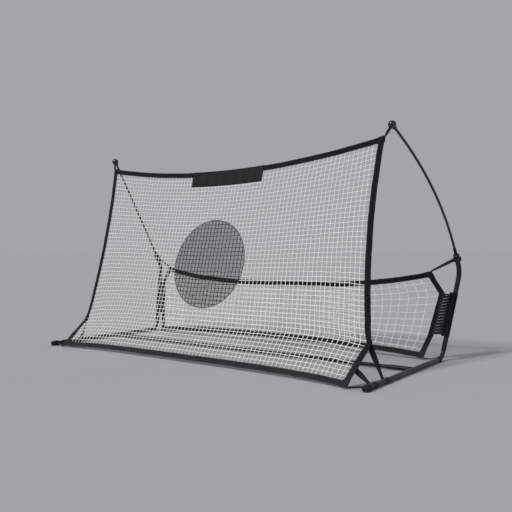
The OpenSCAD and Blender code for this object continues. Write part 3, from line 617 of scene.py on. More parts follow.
def cordPart(path, radius, count=8, closed=False):
    path = np.asarray(path, float)
    ahead = unitRows(np.roll(path, -1, axis=0) - np.roll(path, 1, axis=0)) if closed else tangents(path)
    side = unit(across((0.31, 0.22, 0.93), ahead[0]))
    firsts = []
    for d in ahead:
        side = unit(across(side, d))
        firsts.append(side)
    firsts = np.array(firsts)
    if closed:  # takes out the twist left over at the seam, bit by bit
        over = math.atan2(np.dot(np.cross(firsts[-1], firsts[0]), ahead[0]), np.dot(firsts[-1], firsts[0]))
        for i in range(len(path)):
            a = over * i / len(path)
            firsts[i] = firsts[i] * math.cos(a) + np.cross(ahead[i], firsts[i]) * math.sin(a)
    radii = np.broadcast_to(np.asarray(radius, float), (len(path),))
    turn = 2 * math.pi * float(radii.mean())
    return roundPart(path, firsts, np.cross(ahead, firsts), radii, count, turn, closed)


def netGrid(which, settings, seed):
    # the net's crossings, each a little out of place, and the surface's normals there
    gaps, rows = settings["gapsAcross"], settings["rows"]
    heights = [0, *(settings["firstRow"] + settings["rowGap"] * j for j in range(rows)), 1]
    grid = np.array([[onNet(which, -1 + 2 * i / gaps, t) for t in heights] for i in range(gaps + 1)])
    du, dv = np.gradient(grid, axis=0), np.gradient(grid, axis=1)
    random = np.random.default_rng(seed)
    most = settings["mostWobble"]
    shake = random.normal(0, settings["wobble"], grid.shape[:2] + (2,)).clip(-most, most)
    shake[[0, -1]] = 0
    shake[:, [0, -1]] = 0
    return grid + shake[..., :1] * unitRows(du) + shake[..., 1:] * unitRows(dv), unitRows(np.cross(du, dv))


hemTuck = {"in": 0.001, "deep": 0.004, "radii": [0.0008, 0.0012]}


def strands(name, lines, normals, settings, material, count):
    # lines (L,K,3): each strand runs through K crossings, and thickens at each inner one
    grip, thin, thick = settings["knotLength"], settings["twineR"], settings["knotR"]
    parts = []
    for line, normal in zip(lines, normals):
        first, last = unit(line[1] - line[0]), unit(line[-1] - line[-2])
        centres = [line[0] - first * hemTuck["deep"], line[0] + first * hemTuck["in"]]
        radii, ups = list(hemTuck["radii"]), [normal[0]] * 2
        for k in range(1, len(line) - 1):
            before, after = unit(line[k] - line[k - 1]), unit(line[k + 1] - line[k])
            centres += [line[k] - before * grip, line[k], line[k] + after * grip]
            radii += [thin, thick, thin]
            ups += [normal[k]] * 3
        centres += [line[-1] - last * hemTuck["in"], line[-1] + last * hemTuck["deep"]]
        radii += hemTuck["radii"][::-1]
        ups += [normal[-1]] * 2
        centres, radii = np.array(centres), np.array(radii)
        ahead = tangents(centres)
        seconds = unitRows(np.cross(ahead, np.array(ups)))
        firsts = np.cross(seconds, ahead)
        parts.append(roundPart(centres, firsts, seconds, radii, count, 2 * math.pi * thin))
    return newPiece(name, joined(parts), "white_net", material=material)


def doubleSheet(over, under, wideAt, tallAt):
    # a closed sheet: its upper and lower points, row by row, and their places on the flat cloth
    wide, tall = len(wideAt) - 1, len(tallAt) - 1
    index = lambda i, j, back=0: (back * (wide + 1) + i) * (tall + 1) + j
    faces, uvs = [], []
    for i in range(wide):
        for j in range(tall):
            ring = [(i, j), (i + 1, j), (i + 1, j + 1), (i, j + 1)]
            faces += [tuple(index(*c) for c in ring), tuple(index(*c, 1) for c in ring[::-1])]
            uvs += [(wideAt[a], tallAt[b]) for a, b in ring + ring[::-1]]
    rim = [(i, 0) for i in range(wide)] + [(wide, j) for j in range(tall)]
    rim += [(wide - i, tall) for i in range(wide)] + [(0, tall - j) for j in range(tall)]
    for a, b in zip(rim, rim[1:] + rim[:1]):
        faces.append((index(*b), index(*a), index(*a, 1), index(*b, 1)))
        uvs += [(0, 0)] * 4
    return np.array(over + under), faces, uvs


# stitches: a length along the tape, its gap, and its rows' distance from the fold
stitch = {
    "length": 0.0031, "gap": 0.0048, "ends": 0.004, "depths": (0.0045, 0.0255),
    "half": (0.00042, 0.0004), "shoulder": 0.3,
}


def stitchPart(middle, ahead, up, length=stitch["length"]):
    side, (wide, high) = np.cross(up, ahead), stitch["half"]
    points = [middle - ahead * length / 2, middle + ahead * length / 2]
    for place in (-stitch["shoulder"], stitch["shoulder"]):
        for a, b in ((1, 0), (0, 1), (-1, 0), (0, -1)):
            points.append(middle + ahead * place * length + side * a * wide + up * b * high)
    faces = [(0, 2 + (k + 1) % 4, 2 + k) for k in range(4)]
    faces += [(2 + k, 2 + (k + 1) % 4, 6 + (k + 1) % 4, 6 + k) for k in range(4)]
    faces += [(1, 6 + k, 6 + (k + 1) % 4) for k in range(4)]
    return np.array(points), faces, [(0, 0)] * sum(len(f) for f in faces)


def bothFaces(middle, ahead, up, lift, length=stitch["length"]):
    return [stitchPart(middle + up * face * lift, ahead, up * face, length) for face in (1, -1)]


def hemSteps(wide, tall, inset, gap):
    # the two ends of each stitch's place in a seam that runs round a rectangle
    far, top = wide - inset, tall - inset
    ends = np.array([(inset, inset), (far, inset), (far, top), (inset, top)])
    for a, b in zip(ends, np.roll(ends, -1, axis=0)):
        count = round(np.linalg.norm(b - a) / gap)
        for k in range(count):
            yield mix(a, b, k / count), mix(a, b, (k + 1) / count)


def stitchPiece(name, parts):
    newPiece(name, joined(parts), "black_webbing", material=stitchThread)


# target disc and banner: where they lie
target = {
    "x": -0.013, "up": 0.539, "across": 0.490, "clear": 0.0034,
    "pitch": 0.0045, "thread": 0.00085, "threadDeep": 0.00140, "layer": 0.0003, "threadStep": 0.03,
    "threadEnd": 0.004, "shortest": 0.01, "hem": 0.0022, "hemFlat": 0.0018, "hemDeep": 0.0008, "hemSteps": 160,
}
banner = {
    "x": 0.008, "width": 0.505, "height": 0.090, "thick": 0.0016, "clear": 0.0026,
    "hem": 0.0045, "stitchGap": 0.0044, "stitch": 0.003, "cells": (60, 12),
    "puff": ((0.0007, 9.1), (0.0004, 23)), "stitchRise": 0.0002,
}
targetV = target["up"] / frontLength(0)
targetCentre = frontPoint(target["x"] / frontHalf(targetV), targetV)

# materials
materials = {
    "black_steel": coatedSteel(),
    "dark_steel": brushedMetal("turnedSteel", finishes["ferrule"], 0.34),
    "spring_steel": brushedMetal("springSteel", finishes["spring"], 0.22),
    "rubber": plainSolid(
        "rubber", finishes["rubber"], 0.62, 900.0, 0.0001, dustReach["rubber"], Specular_IOR_Level=0.3),
    "moulded_black": plainSolid(
        "mouldedNylon", finishes["nylon"], 0.42, 1300.0, 0.00008, dustReach["nylon"], Specular_IOR_Level=0.4),
    "fibreglass": rodMaterial(),
    "gloss_black": plainSolid(
        "glossBall", finishes["ball"], 0.16, 60.0, 0.00003, Coat_Weight=0.6, Coat_Roughness=0.06),
    "white_net": twineMaterial("netTwine"),
    "dark_mesh": fineMeshMaterial(),
    "elastic": elasticMaterial(),
    "black_webbing": tapeMaterial(),
}
frontTwine = twineMaterial("netTwineFront", (tuple(targetCentre), target["across"] / 2 - 0.004))
stitchThread = threadMaterial()
panelCloth = panelMaterial()
eyeletMetal = brushedMetal("eyelet", finishes["eyelet"], 0.3)

nodeSlots = {
    "black_steel": ("base_side", "cross_tube", "upright_left", "upright_right"),
    "dark_steel": ("pole_ferrule",),
    "spring_steel": (
        "stub_button", "centre_button", "upright_button", "stub_spring", "centre_spring", "upright_spring"),
    "rubber": ("base_cap",),
    "moulded_black": ("collar",),
    "fibreglass": ("pole_left", "pole_right"),
    "gloss_black": ("ball_tip",),
    "white_net": ("front_mesh", "rear_mesh"),
    "dark_mesh": ("target_patch",),
    "elastic": ("top_tie", "corner_tie", "rear_top_tie", "rear_foot_tie", "lacing_left", "lacing_right"),
    "black_webbing": (
        "front_border", "rear_border", "banner", "knee_strap", "short_strap", "lacing_sleeve"),
}
for slotName, starts in nodeSlots.items():
    for nodeName, piece in nodes.items():
        if nodeName.startswith(starts):
            piece.data.materials.clear()
            piece.data.materials.append(materials[slotName])
print("materials made")

# front and rear nets
nets = (("front", frontNet, 3, frontTwine, 5), ("rear", rearNet, 8, materials["white_net"], 6))
for which, settings, seed, twine, count in nets:
    grid, normals = netGrid(which, settings, seed)
    uprights = strands(which + "NetUprights", grid[1:-1], normals[1:-1], settings, twine, count)
    grid, normals = grid.transpose(1, 0, 2), normals.transpose(1, 0, 2)
    strands(which + "NetRows", grid[1:-1], normals[1:-1], settings, twine, count)
    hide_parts(which + "_mesh")
print("nets made")

# webbing borders


def samples(length):
    return np.linspace(0, 1, max(8, int(length / tape["step"])))


def tapeAlong(which, side):
    # the outer and inner edge of one border, with the surface's normal, from end to end
    point, half, length = surfaces[which]
    if side in ("left", "right"):
        rows = [(point(1, v), point(1 - edgeWidth(which, v) / half(v), v), normalAt(point, 1, v))
                for v in samples(length(1))]
        return [mirrored(row, side == "left") for row in zip(*rows)]
    rows = []
    seam = tape["seam"] / rig["sideX"]
    for s in (samples(2 * half(0)) * 2 - 1) * (1 - seam):
        deep = tape["width"] / length(s)
        v0, v1 = (1, 1 - deep) if side == "top" else (0, deep)
        outer, inner = (point(s * (1 - tape["width"] / half(v)), v) for v in (v0, v1))
        rows.append((outer, inner, normalAt(point, s, v0)))
    return [np.array(row) for row in zip(*rows)]


def tapeSection(width, half):
    # a tape folded over the net's edge: a round fold outside, two soft edges inside
    upper = [(0.0, 0.0), (0.0004, 0.62), (0.0013, 0.93), (0.003, 1), (0.0055, 0.9), (0.008, 0.97),
             (width * 0.5, 0.95), (width - 0.006, 0.98), (width - 0.0035, 0.84),
             (width - 0.0012, 0.95), (width, 0.6)]
    return np.array([(a, h * half) for a, h in upper] + [(a, -h * half) for a, h in upper[:0:-1]])


# uneven edges: the waves' periods, and their heights off the cloth and along it
ripples = {
    "periods": (0.31, 0.17, 0.083, 0.047),
    "off": (0.0002, 0.00015, 0.0001, 0.00008),
    "along": (0.0003, 0.0003, 0.00025, 0.0002),
}


def unevenness(steps, phases, heights):
    waves = zip(ripples["periods"], phases, heights)
    return sum(np.sin(steps / p * 6.28 + a) * m for p, a, m in waves)


def makeBorder(which, side, seed):
    outer, inner, normals = tapeAlong(which, side)
    widths = np.linalg.norm(inner - outer, axis=1) / tape["width"]
    inward = unitRows(inner - outer)
    steps = runLengths(outer)
    phases = np.random.default_rng(seed).uniform(0, 6.28, 4)
    ripple = unevenness(steps, phases, ripples["off"])
    scallop = unevenness(steps, phases[::-1], ripples["along"])
    section = tapeSection(tape["width"], tape["thick"] / 2)
    sections = np.repeat(section[None], len(outer), axis=0)
    if side in ("left", "right"):
        # the side borders are wrapped over the ends of the others
        fromEnd = np.minimum(steps, steps[-1] - steps)
        grow = 1 + tape["endGrow"] * np.clip((tape["endReach"] - fromEnd) / tape["endRamp"], 0, 1)
        sections *= np.stack([widths, grow], axis=1)[:, None]
        ripple = ripple * np.clip(fromEnd / tape["calmReach"], tape["calm"], 1)
    centres = outer + normals * ripple[:, None] + inward * (tape["seat"] + scallop[:, None])
    newPiece(which + "Border" + side.capitalize(), sweep(centres, inward, normals, sections),
             "black_webbing", which + "_border_" + side)
    return centres, inward, normals, steps, widths


def stitchRow(centres, inward, normals, steps, widths, depth):
    parts = []
    place = stitch["ends"]
    while place < steps[-1] - stitch["ends"]:
        k = min(int(np.searchsorted(steps, place)), len(steps) - 1)
        t = (place - steps[k - 1]) / (steps[k] - steps[k - 1])
        at = lambda rows: mix(rows[k - 1], rows[k], t)
        middle = at(centres) + unit(at(inward)) * at(widths) * depth
        ahead = unit(centres[k] - centres[k - 1])
        parts += bothFaces(middle, ahead, unit(at(normals)), tape["thick"] / 2)
        place += stitch["gap"]
    return parts


seed, rowsMade = 20, {"front": [], "rear": []}
for which in rowsMade:
    for side in ("top", "bottom", "left", "right"):
        seed += 1
        made = makeBorder(which, side, seed)
        for depth in stitch["depths"]:
            rowsMade[which] += stitchRow(*made, depth)
for which, parts in rowsMade.items():
    stitchPiece(which + "BorderStitches", parts)
print("borders made")

# target disc


def onTarget(x, y):
    # the place on the cloth, and the cloth's normal
    u, v = (target["x"] + x) / frontHalf(targetV), targetV + y / frontLength(0)
    return frontPoint(u, v), normalAt(frontPoint, u, v)


def threadPart(line, normals, width, deep):
    ahead = tangents(line)
    seconds = unitRows(np.cross(ahead, normals))
    section = [(deep / 2, 0), (0, width / 2), (-deep / 2, 0), (0, -width / 2)]
    return sweep(line, np.cross(seconds, ahead), seconds, section)


def makeTarget():
    radius = target["across"] / 2
    lines = int(2 * radius / target["pitch"])
    parts = []
    for turned in (False, True):
        clear = target["clear"] + target["layer"] * (1 if turned else -1)
        for k in range(lines):
            a = (k + 0.5) / lines * 2 * radius - radius
            reach = math.sqrt(radius ** 2 - a * a) - target["threadEnd"]
            if reach < target["shortest"]:
                continue
            along = np.linspace(-reach, reach, max(4, int(2 * reach / target["threadStep"])))
            spots = [onTarget(b, a) if turned else onTarget(a, b) for b in along]
            line, normals = (np.array(rows) for rows in zip(*spots))
            parts.append(threadPart(line + normals * clear, normals, target["thread"], target["threadDeep"]))
    mesh = newPiece("targetMesh", joined(parts), "dark_mesh", "target_patch", smooth=False)
    # the disc's hem: a narrow binding, sewn round its edge
    half, flat, deep = target["hem"], target["hemFlat"], target["hemDeep"]
    ring = roundSection(radius - half, target["hemSteps"])
    line, ups = (np.array(rows) for rows in zip(*(onTarget(*spot) for spot in ring)))
    centres = line + ups * target["clear"]
    inward = np.array([unit(across(targetCentre - c, up)) for c, up in zip(centres, ups)])
    section = [(-half, 0), (-flat, deep), (flat, deep), (half, 0), (flat, -deep), (-flat, -deep)]
    hem = newPiece("targetHem", sweep(centres, inward, ups, section, closed=True), "dark_mesh")


makeTarget()


def onBanner(x, y):
    # the cloth's point and normal under a place on the banner, from its lower left corner
    u = banner["x"] / frontHalf(1) + (x / banner["width"] * 2 - 1) * banner["width"] / 2 / frontHalf(1)
    v = 1 - (banner["height"] - y) / frontLength(0)
    return frontPoint(u, v), normalAt(frontPoint, u, v)


def makeBanner():
    wideAt, tallAt = (np.linspace(0, banner[key], cells + 1)
                      for key, cells in zip(("width", "height"), banner["cells"]))
    over, under = [], []
    for x in wideAt:
        for y in tallAt:
            point, normal = onBanner(x, y)
            s, t = x / banner["width"] * 2 - 1, y / banner["height"]
            (big, slow), (small, fast) = banner["puff"]
            puff = big * math.sin(s * slow) * math.sin(t * math.pi) + small * math.sin(s * fast)
            point = point + normal * (banner["clear"] + puff)
            over.append(point + normal * banner["thick"] / 2)
            under.append(point - normal * banner["thick"] / 2)
    piece = newPiece("bannerPanel", doubleSheet(over, under, wideAt, tallAt), "black_webbing", material=panelCloth)
    # one row of stitches holds the panel all round
    parts, lift = [], banner["clear"] + banner["thick"] / 2 + banner["stitchRise"]
    for ends in hemSteps(banner["width"], banner["height"], banner["hem"], banner["stitchGap"]):
        (one, normal), (two, nextNormal) = (onBanner(*end) for end in ends)
        one, two = one + normal * lift, two + nextNormal * lift
        parts.append(stitchPart((one + two) / 2, unit(two - one), normal, banner["stitch"]))
    stitchPiece("bannerStitches", parts)
    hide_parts("banner")


makeBanner()
print("target and banner made")

# cords: ties and lacing
cordR = {"ground": 0.0025, "top": 0.0038, "rearTop": 0.0044, "lace": 0.0041}
eyelet = {
    "inset": 0.0125, "bore": 0.0046, "flange": 0.0070, "laceBore": 0.0040, "laceFlange": 0.0056,
    "roll": 1.12, "rise": 0.00035, "lip": 0.93, "drop": 0.00045, "thick": 0.0004,
}
patch = {
    "size": 0.036, "thick": 0.0011, "grow": 1.42, "lip": 0.0012,
    "hem": 0.0036, "knee": 0.046, "short": 0.72, "stitch": 0.0027,
    "thin": 0.55, "sharp": 26, "wave": (0.00012, 9, 14), "overlap": 0.001, "strapLift": 0.0014,
}
ballHole = 0.0172  # from the ball's centre

# ties: lengths in metres, and distances from a leg's middle line in radii of the cord
tie = {
    "apart": 1.03, "level": 0.3, "twisted": 0.72, "mouth": 0.72, "lip": 0.001,
    "tucks": ((0.006, 0.0014), (0.011, 0.0012)), "fade": 0.014, "thin": 0.38,
    "legs": ((0.0, 1.3), (0.25, 1.05), (0.75, 1.1)), "lift": 0.9, "pinch": 0.0006, "past": 0.004,
    "bight": (0.001, 0.0022), "bightLift": 0.6, "slack": 0.0003, "under": 0.0008, "hitch": 1.02,
    "knotAt": 0.006, "knot": (1.75, 0.62), "footKnotAt": (0.010, 0.3), "footKnot": (2.0, 0.8),
    "narrow": 0.92, "sides": 10, "wound": (40, 10), "knotted": (20, 8),
}
cornerLift = tape["thick"] / 2 * patch["grow"] + patch["thick"]


def circlePart(centre, axis, radius, start, cord, steps):
    # a closed turn of cord; the steps are those round the turn and those round the cord
    count, cordSides = steps
    first = unit(across(start, axis))
    second = np.cross(axis, first)
    angles = np.arange(count)[:, None] * 2 * math.pi / count
    path = centre + radius * (first * np.cos(angles) + second * np.sin(angles))
    return cordPart(path, cord, cordSides, closed=True)


def cornerHole(which, v):
    # the point, normal and outward diagonal of the hole in a net's corner
    point, half, length = surfaces[which]
    into = eyelet["inset"]
    upward = into / length(1) * (1 if v < 0.5 else -1)
    hole = point(1 - into / half(v), v + upward)
    return hole, normalAt(point, 1, v), unit(point(1, v) - hole)


def tiePiece(name, parts, label, left):
    # the node's name is the piece's, in small letters with underscores
    node = "".join("_" + c.lower() if c.isupper() else c for c in name + label)
    newPiece(name + label, joined(parts), "elastic", node, left)


def sewnTie(name, start, apart, which, r, left, label, turns=()):
    # two legs side by side at their start, which twist together and end between the corner's layers
    edge = surfaces[which][0](1, 1)
    _, normal, outward = cornerHole(which, 1)
    ahead = unit(edge - start)
    apart = unit(across(apart, ahead))
    parts = list(turns)
    for sign in (1, -1):
        path = smoothed([
            start + apart * sign * r * tie["apart"],
            mix(start, edge, tie["level"]) + apart * sign * r * tie["apart"],
            mix(start, edge, tie["twisted"]) + unit(apart * 0.5 + normal) * sign * r,
            edge + normal * sign * r * tie["mouth"] + outward * tie["lip"],
            *(edge - outward * deep + normal * sign * off for deep, off in tie["tucks"])])
        fade = np.clip(np.linalg.norm(path - path[-1], axis=1) / tie["fade"], tie["thin"], 1)
        parts.append(cordPart(path, r * fade, tie["sides"]))
    if turns:
        wide, thick = tie["knot"]
        knotAt = start + ahead * tie["knotAt"]
        parts.append(circlePart(knotAt, ahead, r * wide, apart, r * thick, tie["knotted"]))
    tiePiece(name, parts, label, left)


def tieLoop(name, y, which, left, label):
    # an elastic loop: one turn round the side tube, and two legs that meet in the corner's eyelet
    r, axis = cordR["ground"], np.array([0.0, 1.0, 0.0])
    centre = rowPoint((rig["sideX"], y, rig["tubeZ"]))
    hole, normal, outward = cornerHole(which, 0)
    edge = surfaces[which][0](1, 0)
    out = unit(across(edge - centre, axis))
    radius = rig["tubeR"] + tie["slack"] + r
    start = centre + out * radius
    reach = np.linalg.norm(edge - start)
    ahead = unit(edge - start)
    side = unit(across(normal, ahead))
    lift = cornerLift + r * tie["lift"]
    legs = [[
        *(mix(start, edge, t) + side * sign * r * off for t, off in tie["legs"]),
        edge + side * sign * (lift - tie["pinch"]),
        hole + outward * tie["past"] + normal * sign * lift] for sign in (1, -1)]
    (shallow, deep), off = tie["bight"], normal * lift * tie["bightLift"]
    turn = [hole - outward * shallow + off, hole - outward * deep, hole - outward * shallow - off]
    most, share = tie["footKnotAt"]
    wide, thick = tie["footKnot"]
    knotAt = start + ahead * min(most, reach * share)
    parts = [circlePart(centre, axis, radius, out, r, tie["wound"]),
             cordPart(smoothed(legs[0] + turn + legs[1][::-1]), r * tie["narrow"], tie["sides"]),
             circlePart(knotAt, ahead, r * wide, side, r * thick, tie["knotted"])]
    for points, _, _ in parts:  # nothing goes below the ground
        points[:, 2] = np.maximum(points[:, 2], 0)
    tiePiece(name, parts, label, left)


for left, label in sides:
    # the top tie comes out of a hole in the ball
    tip, top = rowPoint(rig["tip"]), frontPoint(1, 1)
    sewnTie("topTie", tip + unit(top - tip) * ballHole, tipDir, "front", cordR["top"], left, label)
    tieLoop("cornerTie", rig["frontTieY"], "front", left, label)
    # the rear one is hitched round the upright, close under the collar
    r = cordR["rearTop"]
    hold = rowPoint(np.array(rig["uprightTop"]) - (2 * r + tie["under"]) * poleDir)
    out = unit(across(rearPoint(1, 1) - hold, poleDir))
    radius = rig["uprightR"] + tie["slack"] + r
    turns = [circlePart(hold + poleDir * r * side, poleDir, radius, out, r, tie["wound"])
             for side in (tie["hitch"], -tie["hitch"])]
    sewnTie("rearTopTie", hold + out * (rig["uprightR"] + r), poleDir, "rear", r, left, label, turns)
    tieLoop("rearFootTie", rig["rearTieY"], "rear", left, label)

lace = {
    "low": 0.115085, "high": 0.346889, "strands": 27, "margin": 0.032, "hole": 0.0066,
    "wingR": 0.0271, "boreR": 0.0129, "thick": 0.0012, "rings": 60, "round": 30,
    "clear": 0.0021, "tail": (0.0125, 0.006), "rise": 0.75, "bend": (0.002, 0.007),
    "knotAt": 0.45, "knot": (1.55, 0.9), "gap": 0.08, "wingFrom": 0.003,
    "pucker": ((0.00035, 83), (0.00025, 41)), "pull": 0.0004,
}


def axisPoint(s):
    return rowPoint(corner + s * lean)


laceMiddle = axisPoint((lace["low"] + lace["high"]) / 2)
wingDir = unit(across(rearPoint(1, (rearLowV + rearHighV) / 2) - laceMiddle, lean))
wingUp = np.cross(lean, wingDir)


def laceHole(k):
    # the holes lie by turns in the sleeve's wing and in the net's webbing
    t = mix(lace["margin"], 1 - lace["margin"], k / lace["strands"])
    if k % 2 == 0:
        place = axisPoint(mix(lace["low"], lace["high"], t))
        return place + wingDir * (lace["wingR"] - lace["hole"]), wingUp
    v = mix(rearLowV, rearHighV, t)
    normal = normalAt(rearPoint, 1, v)
    inner = rearPoint(1 - tape["width"] / rearHalf(v), v)
    return mix(rearPoint(1, v), inner, lace["hole"] / tape["width"]), normal * np.sign(np.dot(normal, wingUp))


def lacingParts():
    # over one face of the wing and of the webbing, through an eyelet, and back under them;
    # between its two holes each strand runs level, so that the strands lie close side by side
    r, lift, near, (bend, flat) = cordR["lace"], cordR["lace"] + lace["clear"], lace["rise"], lace["bend"]
    step = lean * (lace["high"] - lace["low"]) * (1 - 2 * lace["margin"]) / lace["strands"] / 2
    path = []
    for k in range(lace["strands"]):
        face = 1 if k % 2 == 0 else -1
        (a, aUp), (b, bUp) = laceHole(k), laceHole(k + 1)
        level, end = a + step, b - step
        d = unit(end - level)
        if k == 0:
            path += [a - aUp * tail for tail in lace["tail"]]
        path += [a, a + step * 0.5 + d * bend + aUp * lift * face * near,
                 level + d * flat + aUp * lift * face, end - d * flat + bUp * lift * face,
                 b - step * 0.5 - d * bend + bUp * lift * face * near, b]
    path = smoothed(path + [b - bUp * face * tail for tail in lace["tail"][::-1]])
    parts = [cordPart(path, r, 8)]
    wide, thick = lace["knot"]
    for end, inner in ((path[0], path[6]), (path[-1], path[-7])):
        knotAt = mix(end, inner, lace["knotAt"])
        parts.append(circlePart(knotAt, unit(inner - end), r * wide, lean, r * thick, tie["knotted"]))
    return parts


def sleeveSection():
    # a tube of cloth round the upright, with a doubled wing that carries the lacing
    bore, thick, wing = lace["boreR"], lace["thick"], lace["wingR"]
    outer = bore + thick
    gap = math.asin(thick / outer) + lace["gap"]
    angles = np.linspace(gap, 2 * math.pi - gap, lace["round"])
    ring = [(outer * math.cos(a), outer * math.sin(a)) for a in angles]
    low = [(outer + 0.0012, -1.05), (wing - 0.008, -0.95), (wing - 0.0012, -0.92), (wing, -0.4)]
    return np.array(ring + [(a, h * thick) for a, h in low] + [(a, -h * thick) for a, h in low[::-1]])


def makeSleeve(left, label):
    section, rings = sleeveSection(), lace["rings"]
    phases = np.random.default_rng(5 + left).uniform(0, 6.28, 3)
    centres, sections = [], []
    far = section[:, 0] > lace["boreR"] + lace["wingFrom"]
    for k in range(rings + 1):
        t = k / rings
        centres.append(axisPoint(mix(lace["low"], lace["high"], t)))
        pucker = sum(high * math.sin(t * rate + a) for (high, rate), a in zip(lace["pucker"], phases))
        pull = lace["pull"] * math.sin(t * math.pi * (lace["strands"] - 1) + phases[2])
        sections.append(section + far[:, None] * np.array([pull, pucker]))
    outer = sweep(np.array(centres), wingDir, wingUp, np.array(sections))
    bore = sweep(np.array(centres), wingDir, wingUp, roundSection(lace["boreR"], lace["round"])[::-1])
    walls = []
    for (points, faces, uvs), count in ((outer, len(section)), (bore, lace["round"])):
        walls.append((points, faces[:-2], uvs[:-2 * count]))
    piece = newPiece("lacingSleeve" + label, joined(walls), "black_webbing", left=left)

    def bridgeEnds(shell):
        rim = [e for e in shell.edges if e.is_boundary]
        for top in (False, True):
            ends = [e for e in rim if (e.verts[0].co.z > laceMiddle[2]) == top]
            bmesh.ops.bridge_loops(shell, edges=ends)

    facesOutward(piece.data, bridgeEnds)
    piece.data.shade_smooth()
    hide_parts("lacing_sleeve_" + label.lower())


for left, label in sides:
    tiePiece("lacing", lacingParts(), label, left)
    makeSleeve(left, label)
print("cords and sleeves made")

# straps round the side tubes
strap = {
    "width": 0.025, "thick": 0.002, "boreR": 0.0112, "lap": 0.019,
    "turnSteps": 40, "riseSteps": 14, "open": 0.12, "rise": (0.06, 0.97), "lapAt": (0.12, 0.3, 0.55, 0.8, 1.0),
    "easedFrom": 48, "behind": 0.0017, "firm": 0.94, "soft": 0.001,
    "stitch": 0.0026, "stitchGap": 0.0034, "stitchRows": (41, 43, 45, 55, 57), "stitchSide": 3,
}


def strapPath(v):
    # once round the tube, up to the net's edge with a quarter turn, and flat on the border's back
    edge, midR = frontPoint(1, v), strap["boreR"] + strap["thick"] / 2
    inward = unit(frontPoint(1 - tape["width"] / frontHalf(v), v) - edge)
    along = unit(frontPoint(1, v + strap["lap"] / frontLength(1)) - edge)
    back = unit(np.cross(inward, along))
    back *= math.copysign(1, back[1])
    off = tape["thick"] / 2 + strap["thick"] / 2 + strap["behind"]
    start = edge + inward * edgeWidth("front", v) / 2 + back * off
    top = np.array([start[0] - rig["sideX"], start[2] - rig["tubeZ"]])
    touch = math.atan2(top[1], top[0]) + math.acos(midR / np.linalg.norm(top))
    angles = np.linspace(touch - 2 * math.pi + strap["open"], touch, strap["turnSteps"])
    hub = np.array([rig["sideX"], edge[1], rig["tubeZ"]])
    ring = [hub + midR * np.array([math.cos(a), 0, math.sin(a)]) for a in angles]
    tail = [mix(ring[-1], start, t) for t in np.linspace(*strap["rise"], strap["riseSteps"])]
    lap = [start + along * strap["lap"] * t for t in strap["lapAt"]]
    centres = np.array(ring + tail + lap)
    k = strap["easedFrom"]
    for _ in range(3):  # eases the bend between the rise and the lap
        centres[k:-2] = (centres[k - 1:-3] + centres[k:-2] * 2 + centres[k + 1:-1]) / 4
    t = np.clip((np.arange(len(centres)) - strap["turnSteps"]) / strap["riseSteps"], 0, 1)[:, None]
    wide = mix(np.array([[0.0, 1.0, 0.0]]), -inward, t * t * (3 - 2 * t))
    return centres, wide


def makeStrap(name, v, replaces, left):
    centres, seconds = strapPath(v)
    ahead = tangents(centres)
    seconds = unitRows(seconds - ahead * (ahead * seconds).sum(axis=1)[:, None])
    firsts = np.cross(seconds, ahead)
    half, wide = strap["thick"] / 2 * strap["firm"], strap["width"] / 2
    inner = wide - strap["soft"]
    outline = [(half * 0.6, -wide), (half, -inner), (half * 0.9, 0), (half, inner), (half * 0.6, wide)]
    part = sweep(centres, firsts, seconds, outline + [(-a, b) for a, b in outline[::-1]])
    newPiece(name, part, "black_webbing", replaces, left)
    parts = []
    for k in strap["stitchRows"]:  # rows across the strap, close over the tube and in its lap
        for i in range(-strap["stitchSide"], strap["stitchSide"] + 1):
            middle = centres[k] + seconds[k] * i * strap["stitchGap"]
            parts += bothFaces(middle, seconds[k], firsts[k], half, strap["stitch"])
    return [mirroredPart(part, left) for part in parts]


strapStitches = []
for left, label in sides:
    strapStitches += makeStrap("kneeStrap" + label, kneeV, "knee_strap_" + label.lower(), left)
    strapStitches += makeStrap("shortStrap" + label, shortV, "short_strap_" + label.lower(), left)
stitchPiece("strapStitches", strapStitches)
print("straps made")

# sewn patches over the nets' corners and at the straps
patchRims = (0, 0.015, 0.05, 0.12, 0.3, 0.5, 0.7, 0.88, 0.95, 0.985, 1)


def makePatch(which, deep, tall, v0, way, lift):
    # the patch's cloth, and the seam round it; way is 1 for upward along the edge, or -1
    point, half, length = surfaces[which]

    def spotAt(a, b):
        v = v0 + b / length(1) * way
        return point(1 + (patch["lip"] - a) / half(v), v), normalAt(point, 1, v)

    over, under, seam = [], [], []
    high, acrossRate, alongRate = patch["wave"]
    for a in patchRims:
        for b in patchRims:
            spot, normal = spotAt(a * deep, b * tall)
            edge = max(abs(2 * a - 1), abs(2 * b - 1))
            ripple = high * math.sin(a * acrossRate + b * alongRate)
            rise = lift * (1 - patch["thin"] * edge ** patch["sharp"]) + ripple
            over.append(spot + normal * rise)
            under.append(spot - normal * rise)
    cloth = doubleSheet(over, under, np.array(patchRims) * deep, np.array(patchRims) * tall)
    for a, b in hemSteps(deep, tall, patch["hem"], patch["hem"]):
        (middle, normal), (further, _) = spotAt(*mix(a, b, 0.5)), spotAt(*mix(a, b, 0.7))
        seam += bothFaces(middle, unit(further - middle), normal, lift, patch["stitch"])
    return cloth, seam


